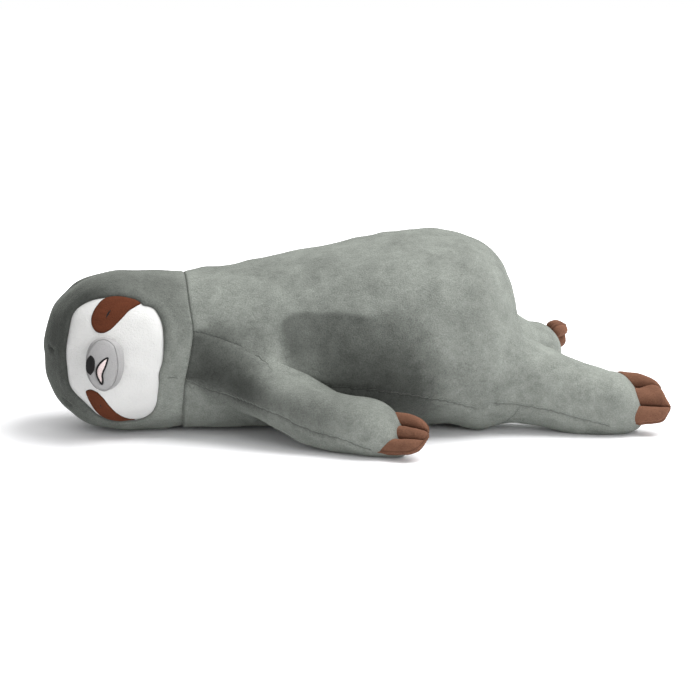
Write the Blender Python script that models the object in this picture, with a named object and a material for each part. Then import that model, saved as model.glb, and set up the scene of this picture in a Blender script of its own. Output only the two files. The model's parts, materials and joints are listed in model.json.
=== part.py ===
# Plush sloth that lies on its belly with its head turned to one side: a stuffed body, head,
# arms and legs in grey plush, a pale face with brown eye patches, and brown stuffed claws.
# X runs along the body with the head towards -X, the face looks to -Y, and +Z is up.
import math

import bmesh
import bpy
import numpy as np
from mathutils import Matrix, Vector

mm = 0.001

# Fabric and fit
fabric = 3.0 * mm             # a sewn cover with its pile and seam allowance
gap = 0.3 * mm                # between pieces that touch
overrun = 30.0 * mm           # how far a cutter passes what it cuts
floor_cut = 0.5 * mm          # how deep a form is cut flat where it lies
seam_roll = 7.0 * mm          # how far the fabric rolls in at the neck seam
seam_pinch_share = 0.93       # size of the neck ring against the form beside it
seam_ring_shares = (0.0, 0.35, 1.0)
first_ring_share = 0.6        # how soon the first ring follows a rounded end's tip

# Body
body_length = 392.0 * mm
body_half_width = 134.0 * mm
body_half_height = 114.0 * mm
neck_half_width = 88.0 * mm
neck_half_height = 90.5 * mm
neck_rise = 3.0 * mm          # the chest lifts this far off the floor at the neck
rump_round = 122.0 * mm       # length over which the rump rounds off
belly_seam_height = 47.0 * mm
rump_tall_power = 3.1         # how squarely the rump rounds off, seen from the side
rump_wide_power = 2.9         # and from above
back_power = 2.15             # the back is nearly round, the belly is flatter
belly_power = 2.7
chest_settle_share = 0.71     # the swell at which the belly has come down to the floor
body_swell_shares = (
    (0.0, 0.0), (0.18, 0.24), (0.32, 0.46), (0.47, 0.73), (0.61, 0.95), (0.71, 1.0), (1.0, 1.0),
)
body_ring_shares = (0.09, 0.17, 0.26, 0.35, 0.44, 0.53, 0.62)
body_inner_ring_shares = (0.2, 0.35, 0.5, 0.65)
rump_rings = 8

# Head
head_length = 166.0 * mm
head_half_depth = 84.0 * mm
head_half_height = 94.0 * mm
crown_round = 96.0 * mm
crown_tall_power = 2.1
crown_wide_power = 2.3
head_power = 2.2
head_swell_shares = ((0.0, 0.0), (0.20, 0.7), (0.46, 1.0), (1.0, 1.0))
head_ring_shares = (0.4, 0.29, 0.17)
head_inner_ring_shares = (0.3,)
crown_rings = 8

# Face panel, in the plane that looks along Y
face_half_length = 57.0 * mm  # from brow to chin
face_half_width = 73.0 * mm
face_from_neck = 84.0 * mm    # from the neck seam to the face's centre
face_power = 2.7
face_depth_share = 0.25       # the face's cutters stop at this share of the head's depth

# Brown patches round the eyes
patch_thick = 1.6 * mm
patch_start = 14.0 * mm       # from the face's centre towards the brow
patch_start_side = 43.0 * mm
patch_end = 33.0 * mm         # from the face's centre towards the chin
patch_end_side = 68.0 * mm
patch_round = 14.5 * mm
eye_half_length = 5.5 * mm
eye_half_width = 1.3 * mm
eye_thick = 0.9 * mm
eye_offset = 5.0 * mm         # from the patch's round end towards the chin
eye_lean_deg = 56.5           # how far the shut eye leans across the face

# Muzzle, nose and mouth
muzzle_half_length = 22.0 * mm
muzzle_half_width = 31.0 * mm
muzzle_height = 23.0 * mm
muzzle_sink = 10.0 * mm       # how far its base goes under the face panel's crown
muzzle_up = 10.0 * mm         # from the face's centre towards the brow
muzzle_lean = 3.0 * mm        # how far its front leans towards the brow
muzzle_end_power = 3.0
muzzle_side_power = 2.2
muzzle_ring_shares = (0.0, 0.3, 0.55, 0.72, 0.84, 0.93, 0.985)
nose_up = 16.0 * mm           # from the muzzle's centre towards the brow
nose_half_length = 5.8 * mm
nose_half_width = 12.0 * mm
nose_thick = 1.2 * mm
mouth_down = 1.0 * mm         # from the muzzle's centre towards the chin, to the mouth's corners
mouth_half_width = 14.5 * mm
mouth_bow = 10.5 * mm
mouth_inner_bow = 2.5 * mm
mouth_line = 2.2 * mm
mouth_thick = 0.9 * mm

# Arms
shoulder_from_neck = 58.0 * mm
shoulder_side = 70.0 * mm
shoulder_height = 80.0 * mm
shoulder_ball = 43.0 * mm
arm_reach = 184.0 * mm        # level distance from the shoulder to the hand's centre
arm_splay_deg = 36.0
arm_bow = 10.0 * mm
arm_root = 37.0 * mm
arm_middle = 33.0 * mm
hand_half_width = 37.0 * mm
hand_half_height = 34.0 * mm
hand_round = 32.0 * mm
arm_sweep_deg = 60.0          # how far an arm swings out from where it lies

# Both kinds of limb
limb_power = 2.2
limb_waist_share = 0.5        # where along it a limb is slimmest
paw_grow_power = 1.3
paw_power = 2.3
limb_ring_shares = (0.0, 0.17, 0.34, 0.5, 0.66, 0.82)
limb_inner_ring_shares = (0.0, 0.28, 0.52, 0.8)
paw_rings = 5
paw_inner_rings = 3
root_hole_share = 0.45        # the opening at a cover's root, against its ball

# Legs
hip_from_rump = 44.0 * mm
hip_side = 70.0 * mm
hip_height = 86.0 * mm
hip_ball = 50.0 * mm
leg_reach = 155.0 * mm
left_leg_splay_deg = 14.0
right_leg_splay_deg = 40.0
right_foot_lift = 14.0 * mm     # the far foot rests a little off the floor
leg_root_half_width = 45.0 * mm
leg_root_half_height = 62.0 * mm
leg_root_height = 69.0 * mm    # the thigh's centre, lower than the hip, because it hangs down
leg_middle_half_width = 38.5 * mm
leg_middle_half_height = 47.0 * mm
foot_half_width = 39.0 * mm
foot_half_height = 35.5 * mm
foot_round = 30.0 * mm
leg_widest_deg = 46.0         # how far a leg swings out from the body's line
leg_nearest_deg = 6.0

# Claws
claw_count = 3
claw_root = 9.5 * mm
claw_inset = 2.5 * mm         # from the paw's end to the roots' line
claw_neck = 7.0 * mm          # the claw stays slim this far, to turn clear of the paw
claw_neck_share = 0.90        # size of the neck against the ball root
claw_fan_deg = 9.0
claw_power = 2.2
claw_round_share = 0.42       # the rounded share of a claw's length
claw_full_share = 0.5         # where along it a claw is fullest
claw_back_angles_deg = (26.0, 57.0)
claw_tip_rings = 4
hand_claw_half_width = 10.5 * mm
hand_claw_half_height = 10.5 * mm
hand_claw_length = 28.0 * mm
hand_claw_drop = 2.0 * mm     # below the hand's centre
hand_claw_roll_deg = 45.0     # how far the claws' line slopes down towards the outside
foot_claw_half_width = 11.5 * mm
foot_claw_half_height = 12.5 * mm
foot_claw_length = 30.0 * mm
foot_claw_drop = -6.0 * mm    # above the foot's centre
foot_claw_roll_deg = 50.0

# Fineness of the forms
body_segments = 32
limb_segments = 16
ball_segments = 20
claw_segments = 10
claw_dish_segments = 16
muzzle_segments = 18
outline_segments = 40
arc_segments = 8
inner_share = 0.5             # the unseen inner forms are coarser by this

neck_x = 0.0
rump_x = neck_x + body_length
neck_height = neck_rise + neck_half_height
face_x = neck_x - face_from_neck
face_z = head_half_height - floor_cut
along_y = Vector((0, 1, 0))
upright = Vector((0, 0, 1))

finishes = {
    "back": ("8C938B", 0.92),
    "belly": ("6F766F", 0.92),
    "head": ("808780", 0.92),
    "arm": ("939993", 0.92),
    "leg": ("999E99", 0.92),
    "face": ("E8E8E6", 0.9),
    "brown": ("6A3B2A", 0.85),
    "claw": ("7D5A4C", 0.85),
    "muzzle": ("B2B1B1", 0.9),
    "thread": ("141314", 0.5),
    "pink": ("F0DADA", 0.7),
    "stuffing": ("EDEDEA", 1.0),
}


def srgb(code):
    """A hex colour as the linear values that a material holds."""
    channels = [int(code[i:i + 2], 16) / 255 for i in (0, 2, 4)]
    return [c / 12.92 if c <= 0.04045 else ((c + 0.055) / 1.055) ** 2.4 for c in channels]


def clear_scene():
    for obj in list(bpy.data.objects):
        bpy.data.objects.remove(obj)


def finish(obj, kind):
    """Gives an object a material of its own."""
    code, roughness = finishes[kind]
    material = bpy.data.materials.new(obj.name)
    material.use_nodes = True
    shader = material.node_tree.nodes["Principled BSDF"]
    shader.inputs["Base Color"].default_value = (*srgb(code), 1.0)
    shader.inputs["Roughness"].default_value = roughness
    shader.inputs["Metallic"].default_value = 0.0
    obj.data.materials.append(material)


def add_object(name, bm, origin=(0.0, 0.0, 0.0)):
    """Links a mesh whose points are in the part's frame, with the object's origin at a given place."""
    bmesh.ops.recalc_face_normals(bm, faces=bm.faces)
    bmesh.ops.translate(bm, verts=bm.verts, vec=-Vector(origin))
    mesh = bpy.data.meshes.new(name)
    bm.to_mesh(mesh)
    bm.free()
    mesh.shade_smooth()
    obj = bpy.data.objects.new(name, mesh)
    obj.location = origin
    bpy.context.collection.objects.link(obj)
    return obj


def as_cutter(obj):
    obj.hide_render = True
    obj.display_type = "WIRE"
    return obj


def boolean(obj, operation, cutter):
    modifier = obj.modifiers.new(cutter.name, "BOOLEAN")
    modifier.operation = operation
    modifier.solver = "EXACT"
    modifier.object = cutter
    return obj


def table(shares, at):
    """A smooth value between the points of a table of shares."""
    xs = [s[0] for s in shares]
    ys = [s[1] for s in shares]
    slopes = np.gradient(ys, xs)
    k = min(max(int(np.searchsorted(xs, at)) - 1, 0), len(xs) - 2)
    step = xs[k + 1] - xs[k]
    t = (at - xs[k]) / step
    rise = (2 * t**3 - 3 * t**2 + 1) * ys[k] + (3 * t**2 - 2 * t**3) * ys[k + 1]
    return rise + step * ((t**3 - 2 * t**2 + t) * slopes[k] + (t**3 - t**2) * slopes[k + 1])


def dome(distance, length, power):
    """The share of full size at a distance from a rounded end, along a cap of the given length."""
    if distance >= length:
        return 1.0
    return max(1 - ((length - distance) / length) ** power, 0.0) ** (1 / power)


def dome_stations(length, count, power):
    """Distances from a rounded end that step evenly round its curve."""
    angles = [math.pi / 2 * (k + first_ring_share) / count for k in range(count)]
    return [length * (1 - math.cos(a) ** (2 / power)) for a in angles]


def ring_points(centre, side, up, half_width, half_height, count, power_up, power_down):
    """An oval ring of points with squarer or rounder flanks, as its powers say."""
    points = []
    for k in range(count):
        angle = 2 * math.pi * k / count
        c, s = math.cos(angle), math.sin(angle)
        power = power_up if s >= 0 else power_down
        y = half_width * math.copysign(abs(c) ** (2 / power), c)
        z = half_height * math.copysign(abs(s) ** (2 / power), s)
        points.append(Vector(centre) + side * y + up * z)
    return points


def skin(rings, tips=(None, None)):
    """A closed mesh over rings of equal count, with a flat or a pointed end at each side."""
    bm = bmesh.new()
    loops = [[bm.verts.new(p) for p in ring] for ring in rings]
    count = len(loops[0])
    for a, b in zip(loops, loops[1:]):
        for k in range(count):
            j = (k + 1) % count
            bm.faces.new((a[k], a[j], b[j]))
            bm.faces.new((a[k], b[j], b[k]))
    for loop, tip in ((loops[0], tips[0]), (loops[-1], tips[1])):
        if tip is None:
            bm.faces.new(loop)
            continue
        point = bm.verts.new(tip)
        for k in range(count):
            bm.faces.new((loop[k], loop[(k + 1) % count], point))
    return bm


def cut_flat(bm, height):
    """Cuts a form flat at a height and closes it there."""
    geometry = bm.verts[:] + bm.edges[:] + bm.faces[:]
    plane = {"plane_co": (0, 0, height), "plane_no": (0, 0, -1)}
    cut = bmesh.ops.bisect_plane(bm, geom=geometry, clear_outer=True, **plane)
    edges = [e for e in cut["geom_cut"] if isinstance(e, bmesh.types.BMEdge)]
    if edges:
        bmesh.ops.edgeloop_fill(bm, edges=edges)


def inner_count(count):
    """How many sides an unseen inner ring has: an even number."""
    return 2 * round(count * inner_share / 2)


def body_form(inset, past_neck=0.0):
    """The body's outline, smaller all round by inset; a negative inset makes it larger."""
    stations = [neck_x - past_neck] if past_neck else []
    stations += [neck_x + gap / 2 + seam_roll * s for s in seam_ring_shares]
    length = rump_x - neck_x
    coarse = inset > 0
    stations += [neck_x + length * s for s in (body_inner_ring_shares if coarse else body_ring_shares)]
    rings_left = dome_stations(rump_round, inner_count(rump_rings) if coarse else rump_rings, rump_wide_power)
    stations += [rump_x - inset - d for d in reversed(rings_left)]
    rings = []
    for x in stations:
        share = min(max((x - neck_x) / length, 0.0), 1.0)
        swell = table(body_swell_shares, share)
        half_height = neck_half_height + (body_half_height - neck_half_height) * swell
        half_width = neck_half_width + (body_half_width - neck_half_width) * swell
        settled = min(swell / chest_settle_share, 1.0)
        rise = neck_rise * (1 - settled) - floor_cut * settled
        centre = Vector((x, 0, rise + half_height))
        end = rump_x - inset - x
        pinch = seam_pinch_share + (1 - seam_pinch_share) * dome(x - neck_x, seam_roll, 2)
        tall = (half_height - inset) * dome(end, rump_round, rump_tall_power) * pinch
        wide = (half_width - inset) * dome(end, rump_round, rump_wide_power) * pinch
        count = inner_count(body_segments) if coarse else body_segments
        rings.append(ring_points(centre, along_y, upright, wide, tall, count, back_power, belly_power))
    tip = Vector((rump_x - inset, 0, body_half_height - floor_cut))
    bm = skin(rings, (None, tip))
    cut_flat(bm, max(inset, 0.0))
    return bm


def head_form(inset, past_neck=0.0):
    """The head's outline, smaller all round by inset."""
    crown_x = neck_x - head_length
    coarse = inset > 0
    count = inner_count(crown_rings) if coarse else crown_rings
    stations = [crown_x + inset + d for d in dome_stations(crown_round, count, crown_tall_power)]
    stations += [neck_x - head_length * s for s in (head_inner_ring_shares if coarse else head_ring_shares)]
    stations += [neck_x - gap / 2 - seam_roll * s for s in reversed(seam_ring_shares)]
    if past_neck:
        stations += [neck_x + past_neck]
    rings = []
    for x in stations:
        share = min(max((neck_x - x) / head_length, 0.0), 1.0)
        swell = table(head_swell_shares, share)
        half_height = neck_half_height + (head_half_height - neck_half_height) * swell
        half_width = neck_half_width + (head_half_depth - neck_half_width) * swell
        height = neck_height + (head_half_height - floor_cut - neck_height) * swell
        end = x - crown_x - inset
        pinch = seam_pinch_share + (1 - seam_pinch_share) * dome(neck_x - x, seam_roll, 2)
        tall = (half_height - inset) * dome(end, crown_round, crown_tall_power) * pinch
        wide = (half_width - inset) * dome(end, crown_round, crown_wide_power) * pinch
        centre = Vector((x, 0, height))
        count = inner_count(body_segments) if coarse else body_segments
        rings.append(ring_points(centre, along_y, upright, wide, tall, count, head_power, head_power))
    tip = Vector((crown_x + inset, 0, head_half_height - floor_cut))
    bm = skin(rings, (tip, None))
    cut_flat(bm, max(inset, 0.0))
    return bm


def leg_splay_deg(side):
    return left_leg_splay_deg if side < 0 else right_leg_splay_deg


def limb_plan(kind, side):
    """Where a limb runs: its joint, its level direction and its end, for side -1 (left) or 1."""
    if kind == "arm":
        joint = Vector((neck_x + shoulder_from_neck, side * shoulder_side, shoulder_height))
        splay, reach, bow = math.radians(arm_splay_deg), arm_reach, arm_bow
        end_height = hand_half_height - floor_cut
        sizes = (arm_root, arm_middle, hand_half_width, hand_half_height, hand_round, shoulder_ball)
        heights = (shoulder_height, arm_root, arm_middle)
    else:
        joint = Vector((rump_x - hip_from_rump, side * hip_side, hip_height))
        splay, reach, bow = math.radians(leg_splay_deg(side)), leg_reach, 0.0
        end_height = foot_half_height - floor_cut + (right_foot_lift if side > 0 else 0.0)
        sizes = (leg_root_half_width, leg_middle_half_width, foot_half_width, foot_half_height, foot_round, hip_ball)
        heights = (leg_root_height, leg_root_half_height, leg_middle_half_height)
    ahead = Vector((math.cos(splay), side * math.sin(splay), 0))
    across = Vector((-ahead.y, ahead.x, 0)) * side
    end = joint + ahead * reach
    end.z = end_height
    return joint, ahead, across, end, bow, sizes, heights


def limb_form(kind, side, inset):
    """A limb from inside its joint to its rounded paw, bent a little outwards and lying on the floor."""
    joint, ahead, across, end, bow, sizes, heights = limb_plan(kind, side)
    root, middle, paw_width, paw_height, round_length, _ = sizes
    root_height, tall_root, tall_middle = heights
    reach = (end - joint).xy.length
    total = reach + round_length - inset
    coarse = inset > 0
    count = inner_count(limb_segments) if coarse else limb_segments
    start = max(inset, 0.0)
    shares = limb_inner_ring_shares if coarse else limb_ring_shares
    stations = [start + (reach - start) * s for s in shares]
    ends = dome_stations(round_length, paw_inner_rings if coarse else paw_rings, paw_power)
    stations += [total - d for d in reversed(ends)]
    rings = []
    for distance in stations:
        share = min(distance / reach, 1.0)
        lower = share**2 * (3 - 2 * share)
        waist = min(share / limb_waist_share, 1.0)
        grow = max((share - limb_waist_share) / (1 - limb_waist_share), 0.0) ** paw_grow_power
        half_width = root + (middle - root) * waist + (paw_width - middle) * grow
        half_height = tall_root + (tall_middle - tall_root) * waist + (paw_height - tall_middle) * grow
        height = root_height + (end.z - root_height) * lower
        centre = joint + ahead * distance + across * bow * math.sin(math.pi * share)
        centre.z = height
        size = dome(total - distance, round_length, paw_power)
        wide, tall = (half_width - inset) * size, (half_height - inset) * size
        rings.append(ring_points(centre, across, upright, wide, tall, count, limb_power, limb_power))
    tip = joint + ahead * total
    tip.z = end.z
    bm = skin(rings, (None, tip))
    cut_flat(bm, start)
    return bm


def ball(name, centre, radius, count):
    """A ball whose poles are above and below its centre."""
    bm = bmesh.new()
    bmesh.ops.create_uvsphere(bm, u_segments=count, v_segments=count // 2, radius=radius)
    bmesh.ops.translate(bm, verts=bm.verts, vec=Vector(centre))
    return add_object(name, bm, centre)


def socket_radius(radius, count, turns_freely=False):
    """The radius of a faceted dish that clears a faceted ball by the gap while it turns."""
    facet = math.cos(math.pi / count)
    return (radius + gap) / (facet**2 if turns_freely else facet)


def body_room(inset, joint=None, turn=0.0):
    """A cutter: the body's outline with a margin, turned about a limb's upright axis."""
    name = f"room_{round(inset / mm * 10)}"
    mesh = bpy.data.meshes.get(name)
    if mesh is None:
        obj = add_object(name, body_form(-gap - inset))
        mesh = obj.data
    else:
        obj = bpy.data.objects.new(name, mesh)
        bpy.context.collection.objects.link(obj)
    if joint is not None:
        turned = Matrix.Translation(joint) @ Matrix.Rotation(turn, 4, "Z") @ Matrix.Translation(-joint)
        obj.matrix_world = turned
    return as_cutter(obj)


def limb_solid(name, kind, side, inset):
    """A limb with its ball, cut back from the body at rest and over the whole of its swing."""
    joint, _, _, _, _, sizes, _ = limb_plan(kind, side)
    obj = add_object(name, limb_form(kind, side, inset), joint)
    if kind == "arm":
        turns = [0.0, arm_sweep_deg / 2, arm_sweep_deg]
    else:
        close, spread = leg_nearest_deg - leg_splay_deg(side), leg_widest_deg - leg_splay_deg(side)
        turns = [close, 0.0, (close + spread) / 2, spread]
    for turn in turns:
        boolean(obj, "DIFFERENCE", body_room(inset, joint, -side * math.radians(turn)))
    count = ball_segments if inset == 0 else inner_count(ball_segments)
    boolean(obj, "UNION", as_cutter(ball(f"{name}_ball", joint, sizes[5] - inset, count)))
    return obj


def paw_plan(kind, side):
    """The claws' line at a paw: the middle of it, the way ahead, the way along it and the claws' sizes."""
    joint, ahead, across, end, _, sizes, _ = limb_plan(kind, side)
    line = end + ahead * (sizes[4] - claw_inset)
    if kind == "arm":
        line.z -= hand_claw_drop
        roll = math.radians(hand_claw_roll_deg)
        claw = (hand_claw_half_width, hand_claw_half_height, hand_claw_length)
    else:
        line.z -= foot_claw_drop
        roll = math.radians(foot_claw_roll_deg)
        claw = (foot_claw_half_width, foot_claw_half_height, foot_claw_length)
    return line, ahead, across * math.cos(roll) - upright * math.sin(roll), claw


def claw_places(kind, side):
    """Each claw's root on the line and the way it points, fanned out."""
    line, ahead, across, claw = paw_plan(kind, side)
    step = 2 * claw[0] + gap
    for k in range(claw_count):
        place = k - (claw_count - 1) / 2
        fan = Matrix.Rotation(math.radians(claw_fan_deg) * place, 3, ahead.cross(across))
        yield k, line + across * step * place, (fan @ ahead, fan @ across), claw


def claw_form(root, ways, claw):
    """A stuffed claw: a ball root, a fuller middle and a blunt rounded tip."""
    half_width, half_height, length = claw
    ahead, across = ways
    above = across.cross(ahead)
    rings = []
    back = [-claw_root * math.cos(math.radians(a)) for a in claw_back_angles_deg]
    front = [claw_neck / 2, claw_neck, (claw_neck + length * claw_full_share) / 2]
    tip_round = length * claw_round_share
    front += [length - d for d in reversed(dome_stations(tip_round, claw_tip_rings, claw_power))]
    for distance in back + front:
        if distance <= 0:
            wide = tall = math.sqrt(claw_root**2 - distance**2)
        else:
            past_neck = min(max((distance - claw_neck) / (length * claw_full_share - claw_neck), 0.0), 1.0)
            swell = math.sin(past_neck * math.pi / 2)
            size = dome(length - distance, tip_round, claw_power)
            slim = claw_root * claw_neck_share
            wide = (slim + (half_width - slim) * swell) * size
            tall = (slim + (half_height - slim) * swell) * size
        centre = root + ahead * distance
        rings.append(ring_points(centre, across, above, wide, tall, claw_segments, claw_power, claw_power))
    return skin(rings, (root - ahead * claw_root, root + ahead * length))


def build_claws(kind, side, label):
    """The three claws of a paw, which turn together about the line of their roots."""
    line = paw_plan(kind, side)[0]
    for k, root, ways, claw in claw_places(kind, side):
        obj = add_object(f"{label}_claw_{k + 1}", claw_form(root, ways, claw), line)
        finish(obj, "claw")


def claw_sockets(kind, side, label):
    """A cutter of three dishes for the claws' roots."""
    bm = bmesh.new()
    radius = socket_radius(claw_root, claw_dish_segments, turns_freely=True)
    across_count, up_count = claw_dish_segments, claw_dish_segments // 2
    for _, root, _, _ in claw_places(kind, side):
        made = bmesh.ops.create_uvsphere(bm, u_segments=across_count, v_segments=up_count, radius=radius)
        bmesh.ops.translate(bm, verts=made["verts"], vec=root)
    return as_cutter(add_object(f"{label}_claw_dishes", bm))


def build_limb(kind, side, limb, paw):
    """A limb's cover and its stuffing, with dishes for the claws."""
    joint, ahead, _, _, _, sizes, _ = limb_plan(kind, side)
    cover = limb_solid(f"{limb}_cover", kind, side, 0.0)
    room = as_cutter(limb_solid(f"{limb}_room", kind, side, fabric))
    filling = limb_solid(f"{limb}_stuffing", kind, side, fabric + gap)
    boolean(cover, "DIFFERENCE", room)
    bm = bmesh.new()
    hole, depth = sizes[5] * root_hole_share, sizes[5]
    bmesh.ops.create_cone(bm, cap_ends=True, segments=limb_segments, radius1=hole, radius2=hole, depth=depth)
    turn = upright.rotation_difference(-ahead).to_matrix().to_4x4()
    bmesh.ops.transform(bm, verts=bm.verts, matrix=Matrix.Translation(joint - ahead * sizes[5]) @ turn)
    boolean(cover, "DIFFERENCE", as_cutter(add_object(f"{limb}_root_hole", bm)))
    dishes = claw_sockets(kind, side, paw)
    for obj, kind_of_finish in ((cover, kind), (filling, "stuffing")):
        boolean(obj, "DIFFERENCE", dishes)
        finish(obj, kind_of_finish)


def slab(name, low, high):
    """A box cutter between two corners."""
    bm = bmesh.new()
    bmesh.ops.create_cube(bm, size=1.0)
    size = Vector(high) - Vector(low)
    middle = (Vector(high) + Vector(low)) / 2
    bmesh.ops.transform(bm, verts=bm.verts, matrix=Matrix.Translation(middle) @ Matrix.Diagonal((*size, 1)))
    return as_cutter(add_object(name, bm))


def build_body():
    """The back and belly panels of the body's cover, and its stuffing, with a dish for each limb."""
    low = Vector((neck_x - overrun, -2 * body_half_width, -overrun))
    high = Vector((rump_x + overrun, 2 * body_half_width, 2 * body_half_height + overrun))
    above = slab("above_belly_seam", (low.x, low.y, belly_seam_height + gap / 2), high)
    below = slab("below_belly_seam", low, (high.x, high.y, belly_seam_height - gap / 2))
    room = as_cutter(add_object("body_room", body_form(fabric, past_neck=overrun)))
    back = boolean(add_object("back_panel", body_form(0.0)), "INTERSECT", above)
    belly = boolean(add_object("belly_panel", body_form(0.0)), "INTERSECT", below)
    stuffing = add_object("body_stuffing", body_form(fabric + gap))
    dishes = []
    for side in (-1, 1):
        for kind, radius in (("arm", shoulder_ball), ("leg", hip_ball)):
            joint = limb_plan(kind, side)[0]
            dish = ball(f"{kind}_dish", joint, socket_radius(radius, ball_segments), ball_segments)
            dishes.append(as_cutter(dish))
    for obj, kind in ((back, "back"), (belly, "belly"), (stuffing, "stuffing")):
        if obj is not stuffing:
            boolean(obj, "DIFFERENCE", room)
        for dish in dishes:
            boolean(obj, "DIFFERENCE", dish)
        finish(obj, kind)


def prism(name, outline, near, far):
    """A cutter with an outline in the X-Z plane, between two places along Y."""
    bm = bmesh.new()
    a = [bm.verts.new((x, near, z)) for x, z in outline]
    b = [bm.verts.new((x, far, z)) for x, z in outline]
    count = len(outline)
    bm.faces.new(a)
    bm.faces.new(b)
    for k in range(count):
        j = (k + 1) % count
        bm.faces.new((a[k], a[j], b[j], b[k]))
    return as_cutter(add_object(name, bm))


def face_outline(margin=0.0):
    """The face panel's rounded outline, larger by a margin."""
    points = []
    for k in range(outline_segments):
        angle = 2 * math.pi * k / outline_segments
        c, s = math.cos(angle), math.sin(angle)
        x = (face_half_length + margin) * math.copysign(abs(c) ** (2 / face_power), c)
        z = (face_half_width + margin) * math.copysign(abs(s) ** (2 / face_power), s)
        points.append((face_x + x, face_z + z))
    return points


def patch_outline(side):
    """A drop that is round beside the nose and runs to a point at the face's edge."""
    start = Vector((face_x - patch_start, face_z - side * patch_start_side))
    end = Vector((face_x + patch_end, face_z - side * patch_end_side))
    along = (end - start).normalized()
    across = Vector((-along.y, along.x))
    length = (end - start).length
    lean = math.asin(patch_round / length)
    points = [tuple(end)]
    count = 2 * arc_segments
    for k in range(count):
        angle = math.pi / 2 - lean + (math.pi + 2 * lean) * k / (count - 1)
        points.append(tuple(start + (along * math.cos(angle) + across * math.sin(angle)) * patch_round))
    return points


def lens(centre, along, half_length, half_width):
    """An outline of two arcs that meet at two points."""
    across = Vector((-along.y, along.x))
    points = []
    for k in range(2 * arc_segments):
        t = k / arc_segments
        s = math.cos(math.pi * t)
        flank = math.sin(math.pi * t)
        points.append(tuple(centre + along * half_length * s + across * half_width * flank))
    return points


def mouth_outline(margin):
    """A crescent: both its edges bow towards the nose, the outer one more."""
    corner_x = face_x - muzzle_up + mouth_down
    reach = math.sqrt(1 - 2 * margin / (mouth_bow - mouth_inner_bow))
    points = []
    for k in range(arc_segments + 1):
        s = reach * (-1 + 2 * k / arc_segments)
        points.append((corner_x - mouth_bow * (1 - s * s) + margin, face_z + mouth_half_width * s))
    for k in range(1, arc_segments):
        s = reach * (1 - 2 * k / arc_segments)
        points.append((corner_x - mouth_inner_bow * (1 - s * s) - margin, face_z + mouth_half_width * s))
    return points


def muzzle_form(inset):
    """The muzzle: a flattened dome that leans a little towards the brow."""
    base_y = -head_half_depth + muzzle_sink
    rings = []
    height = muzzle_height + muzzle_sink - inset
    for share in muzzle_ring_shares:
        size = max(1 - share**muzzle_end_power, 0.0) ** (1 / muzzle_side_power)
        y = base_y - height * share
        centre = Vector((face_x - muzzle_up - muzzle_lean * share, y, face_z))
        wide, tall = (muzzle_half_length - inset) * size, (muzzle_half_width - inset) * size
        count = inner_count(muzzle_segments) if inset > 0 else muzzle_segments
        rings.append(ring_points(centre, Vector((1, 0, 0)), upright, wide, tall, count, 2, 2))
    tip = Vector((face_x - muzzle_up - muzzle_lean, base_y - height, face_z))
    return skin(rings, (None, tip))


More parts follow.
